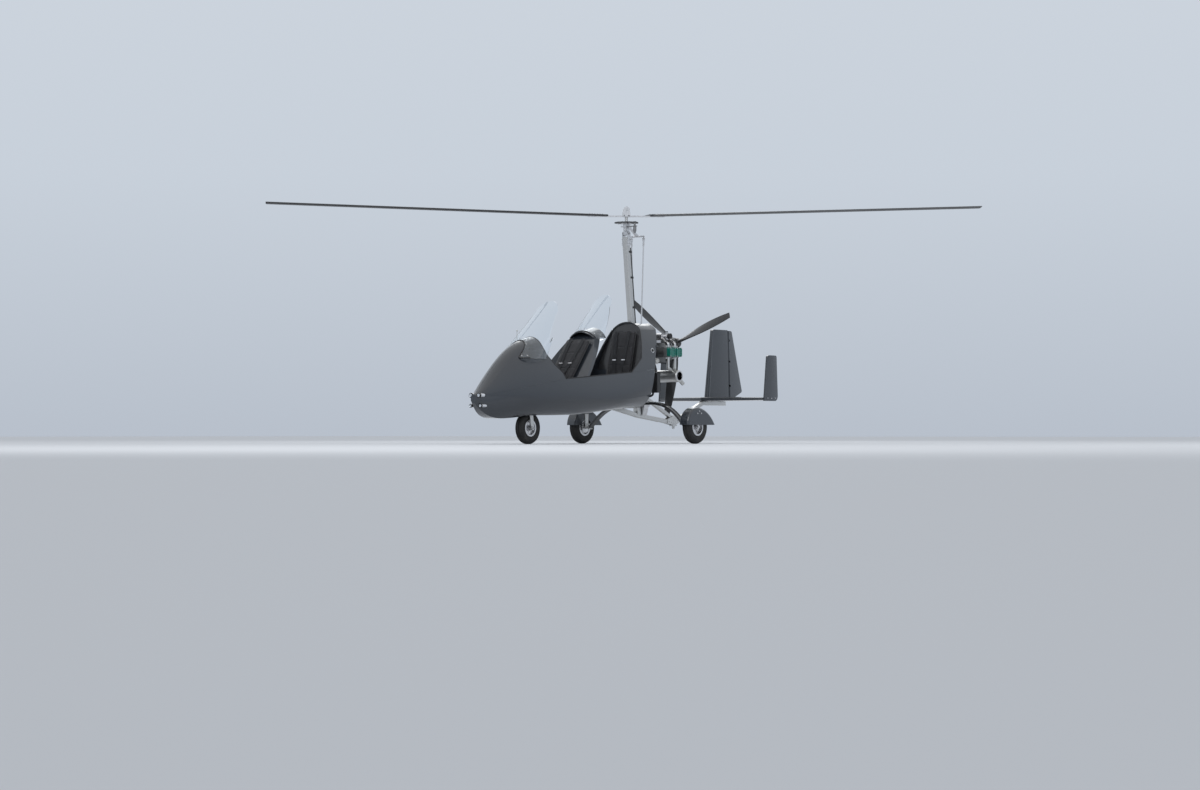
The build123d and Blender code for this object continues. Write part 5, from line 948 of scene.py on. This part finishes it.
def rotor_details():
    """Bolts of the hub bar, blades, towers, ring gear and gimbal."""
    turn = math.radians(BLADE_TURN)
    along = Vector((math.cos(turn), math.sin(turn), 0))
    across = Vector((-math.sin(turn), math.cos(turn), 0))
    blades = skin("rotor_blades")
    rotor = Batch("blade_bolts", "bolt", "rotor")
    for side in SIDES:
        for step in range(6):
            spot = along * (side * (0.280 + 0.030 * step))
            for up in SIDES:
                rotor.bolt_on(blades, spot + upward(HUB_BAR_Z + up * 0.3), (0, 0, up), 0.0075)
        for step in (-1, 1):
            for tower in SIDES:
                spot = along * (step * 0.026) + across * (tower * 0.046)
                rotor.bolt(spot + upward(HUB_BAR_Z + 0.005), across * tower, 0.0065)
    shaft = Batch("shaft_bolts", "bolt", "rotor_shaft")
    for tower in SIDES:
        spot = across * (tower * 0.0467) + upward(TEETER_Z)
        shaft.disc(spot, across * tower, 0.0165, 0.0065, 6)
    for x, y in circle(8, 0.104, 0.2):
        shaft.bolt((x, y, RING_HIGH_Z), (0, 0, 1), 0.0065)
        shaft.bolt((x, y, RING_LOW_Z), (0, 0, -1), 0.0065)
    shaft.lathe((0, 0, 2.5835), (0, 0, -1), [(0, 0.060), (0.004, 0.058), (0.004, 0.020)], 36)
    head = Batch("head_bolts", "bolt", "rotor_head")
    for x in (-0.038, 0.038):
        for y in (-0.047, 0.047):
            head.bolt((x, y, 2.548), (0, 0, 1), 0.005)
    drive = Batch("spin_up_drive", "cast_alloy", "rotor_head")
    drive.box((0.040, -0.060, 2.5375), (0.176, -0.020, 2.5475))
    drive.lathe((0.155, -0.040, 2.536), (0, 0, -1),
                [(0, 0.020), (0.050, 0.020), (0.062, 0.013), (0.075, 0.013)], 24)
    drive.disc((0.155, -0.040, 2.546), (0, 0, 1), 0.012, 0.034, 16)
    pinion = Batch("drive_pinion", "dark_steel", "rotor_head")
    pinion.disc((0.1585, -0.041, 2.584), (0, 0, 1), 0.0185, 0.012, 14)
    for batch in (rotor, shaft, head, drive, pinion):
        batch.build()
    gimbal = Batch("mast_head_bolts", "bolt")
    cheeks = skin("mast_cheeks")
    for y, z in ((-0.022, 2.345), (0.020, 2.345), (-0.022, 2.395), (0.018, 2.395), (0, 2.462)):
        for side in SIDES:
            gimbal.bolt_on(cheeks, (side * 0.5, y, z), (side, 0, 0), 0.010 if z > 2.45 else 0.0065)
    gimbal.build()
    for name, side in (("port", 1), ("starboard", -1)):
        nuts = Batch(name + "_rod_nuts", "bolt", name + "_rod")
        arm = Vector((side * ROD_ARM[0], *ROD_ARM[1:]))
        top = arm - upward(0.022)
        # the nuts keep a line 0.3 degrees off the rod's, 0.3 mm at their far end
        run = (Vector((side * 0.052, 0.208, 1.300)) - top).normalized()
        nuts.disc(top + run * 0.006, run, 0.0125, 0.010, 6)
        nuts.lathe(top + run * 0.019, run, [(0, 0.0105), (0.045, 0.0105), (0.050, 0.0085)], 18)
        for end in (-1, 1):
            nuts.bolt(arm + sideways(end * 0.0142), (end, 0, 0), 0.0048, False)
        nuts.build()


# Running gear

def wheel_details():
    """Rim bolts, valves, hub caps and axle nuts."""
    # body, rim node, axle x, y, z, sides that show
    main_x, main_y, main_z = MAIN_AXLE
    table = (("port_wheel", "port_rim", main_x, main_y, main_z, (1,)),
             ("starboard_wheel", "starboard_rim", -main_x, main_y, main_z, (-1,)),
             ("nose_wheel", "nose_rim", *NOSE_AXLE, SIDES))
    for body, node, x, y, z, faces in table:
        tree = skin(node)
        bolts = Batch(body + "_bolts", "bolt", body)
        valve = Batch(body + "_valve", "rubber", body)
        for side in faces:
            for dy, dz in circle(6, 0.040, math.radians(45)):
                bolts.bolt_on(tree, (x + side * 0.5, y + dy, z + dz), (side, 0, 0), 0.0048)
        side = faces[0]
        dy, dz = circle(1, 0.074, math.radians(62))[0]
        hit = cast(tree, (x + side * 0.5, y + dy, z + dz), (-side, 0, 0))
        if hit:
            valve.bar(hit[0] - sideways(side * 0.002), hit[0] + sideways(side * 0.020), 0.0042, 12,
                      0.0034)
            valve.build()
        bolts.build()
    nuts = Batch("axle_nuts", "bolt")
    for side in SIDES:
        nuts.lathe((side * 0.8875, main_y, main_z), (side, 0, 0),
                   [(0, 0.020), (0.002, 0.020), (0.002, 0.017), (0.014, 0.017), (0.016, 0.013)], 6)
    nuts.build()
    leg = Batch("nose_axle_rings", "bolt", "nose_leg")
    for side in SIDES:
        leg.lathe((side * 0.0735, *NOSE_AXLE[1:]), (side, 0, 0),
                  [(0, 0.0185), (0.009, 0.0185), (0.009, 0.0070), (0, 0.0070)], 24, hollow=True)
    leg.build()


def bow_place(x):
    """Middle line of the gear bow: height and outward direction at x."""
    flat, radius, bend = 0.190, 0.600, math.radians(46)
    if x <= flat:
        return 0.470, 0.0
    if x >= flat + radius * math.sin(bend):
        start = flat + radius * math.sin(bend)
        return 0.470 - radius * (1 - math.cos(bend)) - (x - start) * math.tan(bend), bend
    angle = math.asin((x - flat) / radius)
    return 0.470 - radius * (1 - math.cos(angle)), angle


def bow_top(side, x):
    """Point on the gear bow's upper face, and its direction outward."""
    z, angle = bow_place(x)
    y = 0.312 - 0.15 * (x - 0.10)
    spot = Vector((side * (x + 0.0175 * math.sin(angle)), y, z + 0.0175 * math.cos(angle)))
    return spot, Vector((side * math.cos(angle), 0, -math.sin(angle)))


def gear_details():
    """Brake lines, and the bolts of bow, gussets, mudguards and tail."""
    lines = Batch("brake_lines", "rubber")
    bolts = Batch("frame_bolts", "bolt")
    for side in SIDES:
        path = mirrored(side, ((0.012, 0.352, 0.500), (0.060, 0.358, 0.493)))
        path += [bow_top(side, 0.10 + 0.050 * step)[0] for step in range(12)]
        path += mirrored(side, ((0.735, 0.245, 0.232), (0.770, 0.262, 0.246)))
        lines.tube(bezier_path(path, 60), 0.0032, 8)
        for x in (0.20, 0.36, 0.50, 0.62):
            spot, run = bow_top(side, x)
            lines.disc(spot - run * 0.006, run, 0.0052, 0.012, 12)
        for y in (0.262, 0.322):
            bolts.bolt((side * 0.060, y, 0.4933), (0, 0, 1), 0.0075)
    # node, (y, z) places, bolt size, where the ray starts
    rows = (
        ("joint_gussets", ((0.800, 0.262), (0.850, 0.257), (0.900, 0.275), (0.960, 0.275),
                           (1.005, 0.292), (0.875, 0.238), (0.930, 0.238)), 0.0065, 0.3),
        ("fenders", ((0.175, 0.352), (0.246, 0.352), (0.2105, 0.378)), 0.0060, 1.5),
        ("winglets", ((1.74, 0.545), (1.82, 0.545), (1.90, 0.545)), 0.0050, 1.5),
        ("mast", ((0.150, 0.640), (0.205, 0.500), (0.196, 0.560)), 0.0070, 0.5),
        ("keel_brace", ((0.330, 0.540), (0.300, 0.560)), 0.0060, 0.5),
    )
    for node, places, size, reach in rows:
        tree = skin(node)
        for y, z in places:
            for side in SIDES:
                hit = cast(tree, (side * reach, y, z), (-side, 0, 0))
                if hit and abs(hit[1].x) > 0.8:
                    bolts.bolt(hit[0], (side, 0, 0), size)
    under = skin("stabilizer")
    for y in (1.56, 1.70, 1.84):
        for side in SIDES:
            bolts.bolt_on(under, (side * 0.060, y, 0.2), (0, 0, -1), 0.0065)
    lines.build()
    bolts.build()


def fuel_cap_details():
    """Finger bar and lock on the filler cap."""
    cap = Batch("fuel_cap_grip", "black_plastic")
    tree = skin("fuel_cap")
    outward = Vector((1, 0, 0.23)).normalized()
    hit = cast(tree, Vector((0.302, 0.090, 1.085)) + outward * 0.3, -outward)
    if hit:
        cap.disc(hit[0] - outward * 0.0005, outward, 0.019, 0.002, 28)
        cap.bar(hit[0] + outward * 0.004 - Vector((0, 0.015, 0)),
                hit[0] + outward * 0.004 + Vector((0, 0.015, 0)), 0.0045, 10)
    cap.build()


# Stage

def studio():
    """Pale floor, soft lamps and the floor-level camera."""
    mesh = bpy.data.meshes.new("floor")
    size = 60.0
    mesh.from_pydata([(-size, -size, 0), (size, -size, 0), (size, size, 0), (-size, size, 0)],
                     [], [(0, 1, 2, 3)])
    floor = bpy.data.objects.new("floor", mesh)
    bpy.context.collection.objects.link(floor)
    material, _, shader = new_material("floor_pale")
    set_inputs(shader, Base_Color=(0.60, 0.62, 0.65, 1), Roughness=0.9)
    mesh.materials.append(material)

    world = bpy.data.worlds.new("studio")
    bpy.context.scene.world = world
    world.use_nodes = True
    tree = world.node_tree
    background = tree.nodes["Background"]
    set_inputs(background, Strength=0.80)
    place = tree.nodes.new("ShaderNodeTexCoord")
    split = tree.nodes.new("ShaderNodeSeparateXYZ")
    tree.links.new(place.outputs["Generated"], split.inputs["Vector"])
    sky = ramp(tree, split.outputs["Z"], [(0.0, (0.60, 0.66, 0.75)), (0.10, (0.72, 0.79, 0.88)),
                                          (0.45, (0.88, 0.93, 1.0)), (1.0, (1.0, 1.0, 1.0))])
    tree.links.new(sky, background.inputs["Color"])

    # name, place, power in watts, size
    lamp_rows = (("key", (5.0, -11.0, 9.0), 480.0, 7.0), ("fill", (11.0, 3.0, 5.0), 160.0, 8.0),
                 ("rim", (-6.0, 7.0, 7.5), 180.0, 6.0))
    for name, place, power, size in lamp_rows:
        light = bpy.data.lights.new(name, "AREA")
        light.energy = power
        light.size = size
        lamp = bpy.data.objects.new(name, light)
        lamp.visible_glossy = name != "fill"
        lamp.location = place
        aim = Vector((0, -0.3, 0.9)) - Vector(place)
        lamp.rotation_euler = aim.to_track_quat("-Z", "Y").to_euler()
        bpy.context.collection.objects.link(lamp)

    data = bpy.data.cameras.new("camera")
    camera = bpy.data.objects.new("camera", data)
    bpy.context.collection.objects.link(camera)
    turn = math.radians(CAMERA_AZIMUTH)
    camera.location = (CAMERA_DISTANCE * math.sin(turn), -CAMERA_DISTANCE * math.cos(turn),
                       CAMERA_HEIGHT)
    aim = Vector((0, 0, AIM_HEIGHT)) - camera.location
    camera.rotation_euler = aim.to_track_quat("-Z", "Y").to_euler()
    data.lens = LENS_PER_METRE * CAMERA_DISTANCE
    data.sensor_width = 36.0
    data.shift_x = SHIFT_X
    bpy.context.scene.camera = camera
    bpy.context.scene.view_settings.view_transform = "Standard"


finish_frame_nodes()
cockpit_beading()
panel_screws()
screen_trim("front_windscreen", "front_screen", 0.235, 1.25, 0.95, 30)
screen_trim("rear_windscreen", "rear_screen", 0.185, 1.42, 1.20, 24)
lamps()
instruments()
seats()
controls()
engine_fittings()
cooler_cores()
rotor_details()
wheel_details()
gear_details()
fuel_cap_details()
studio()
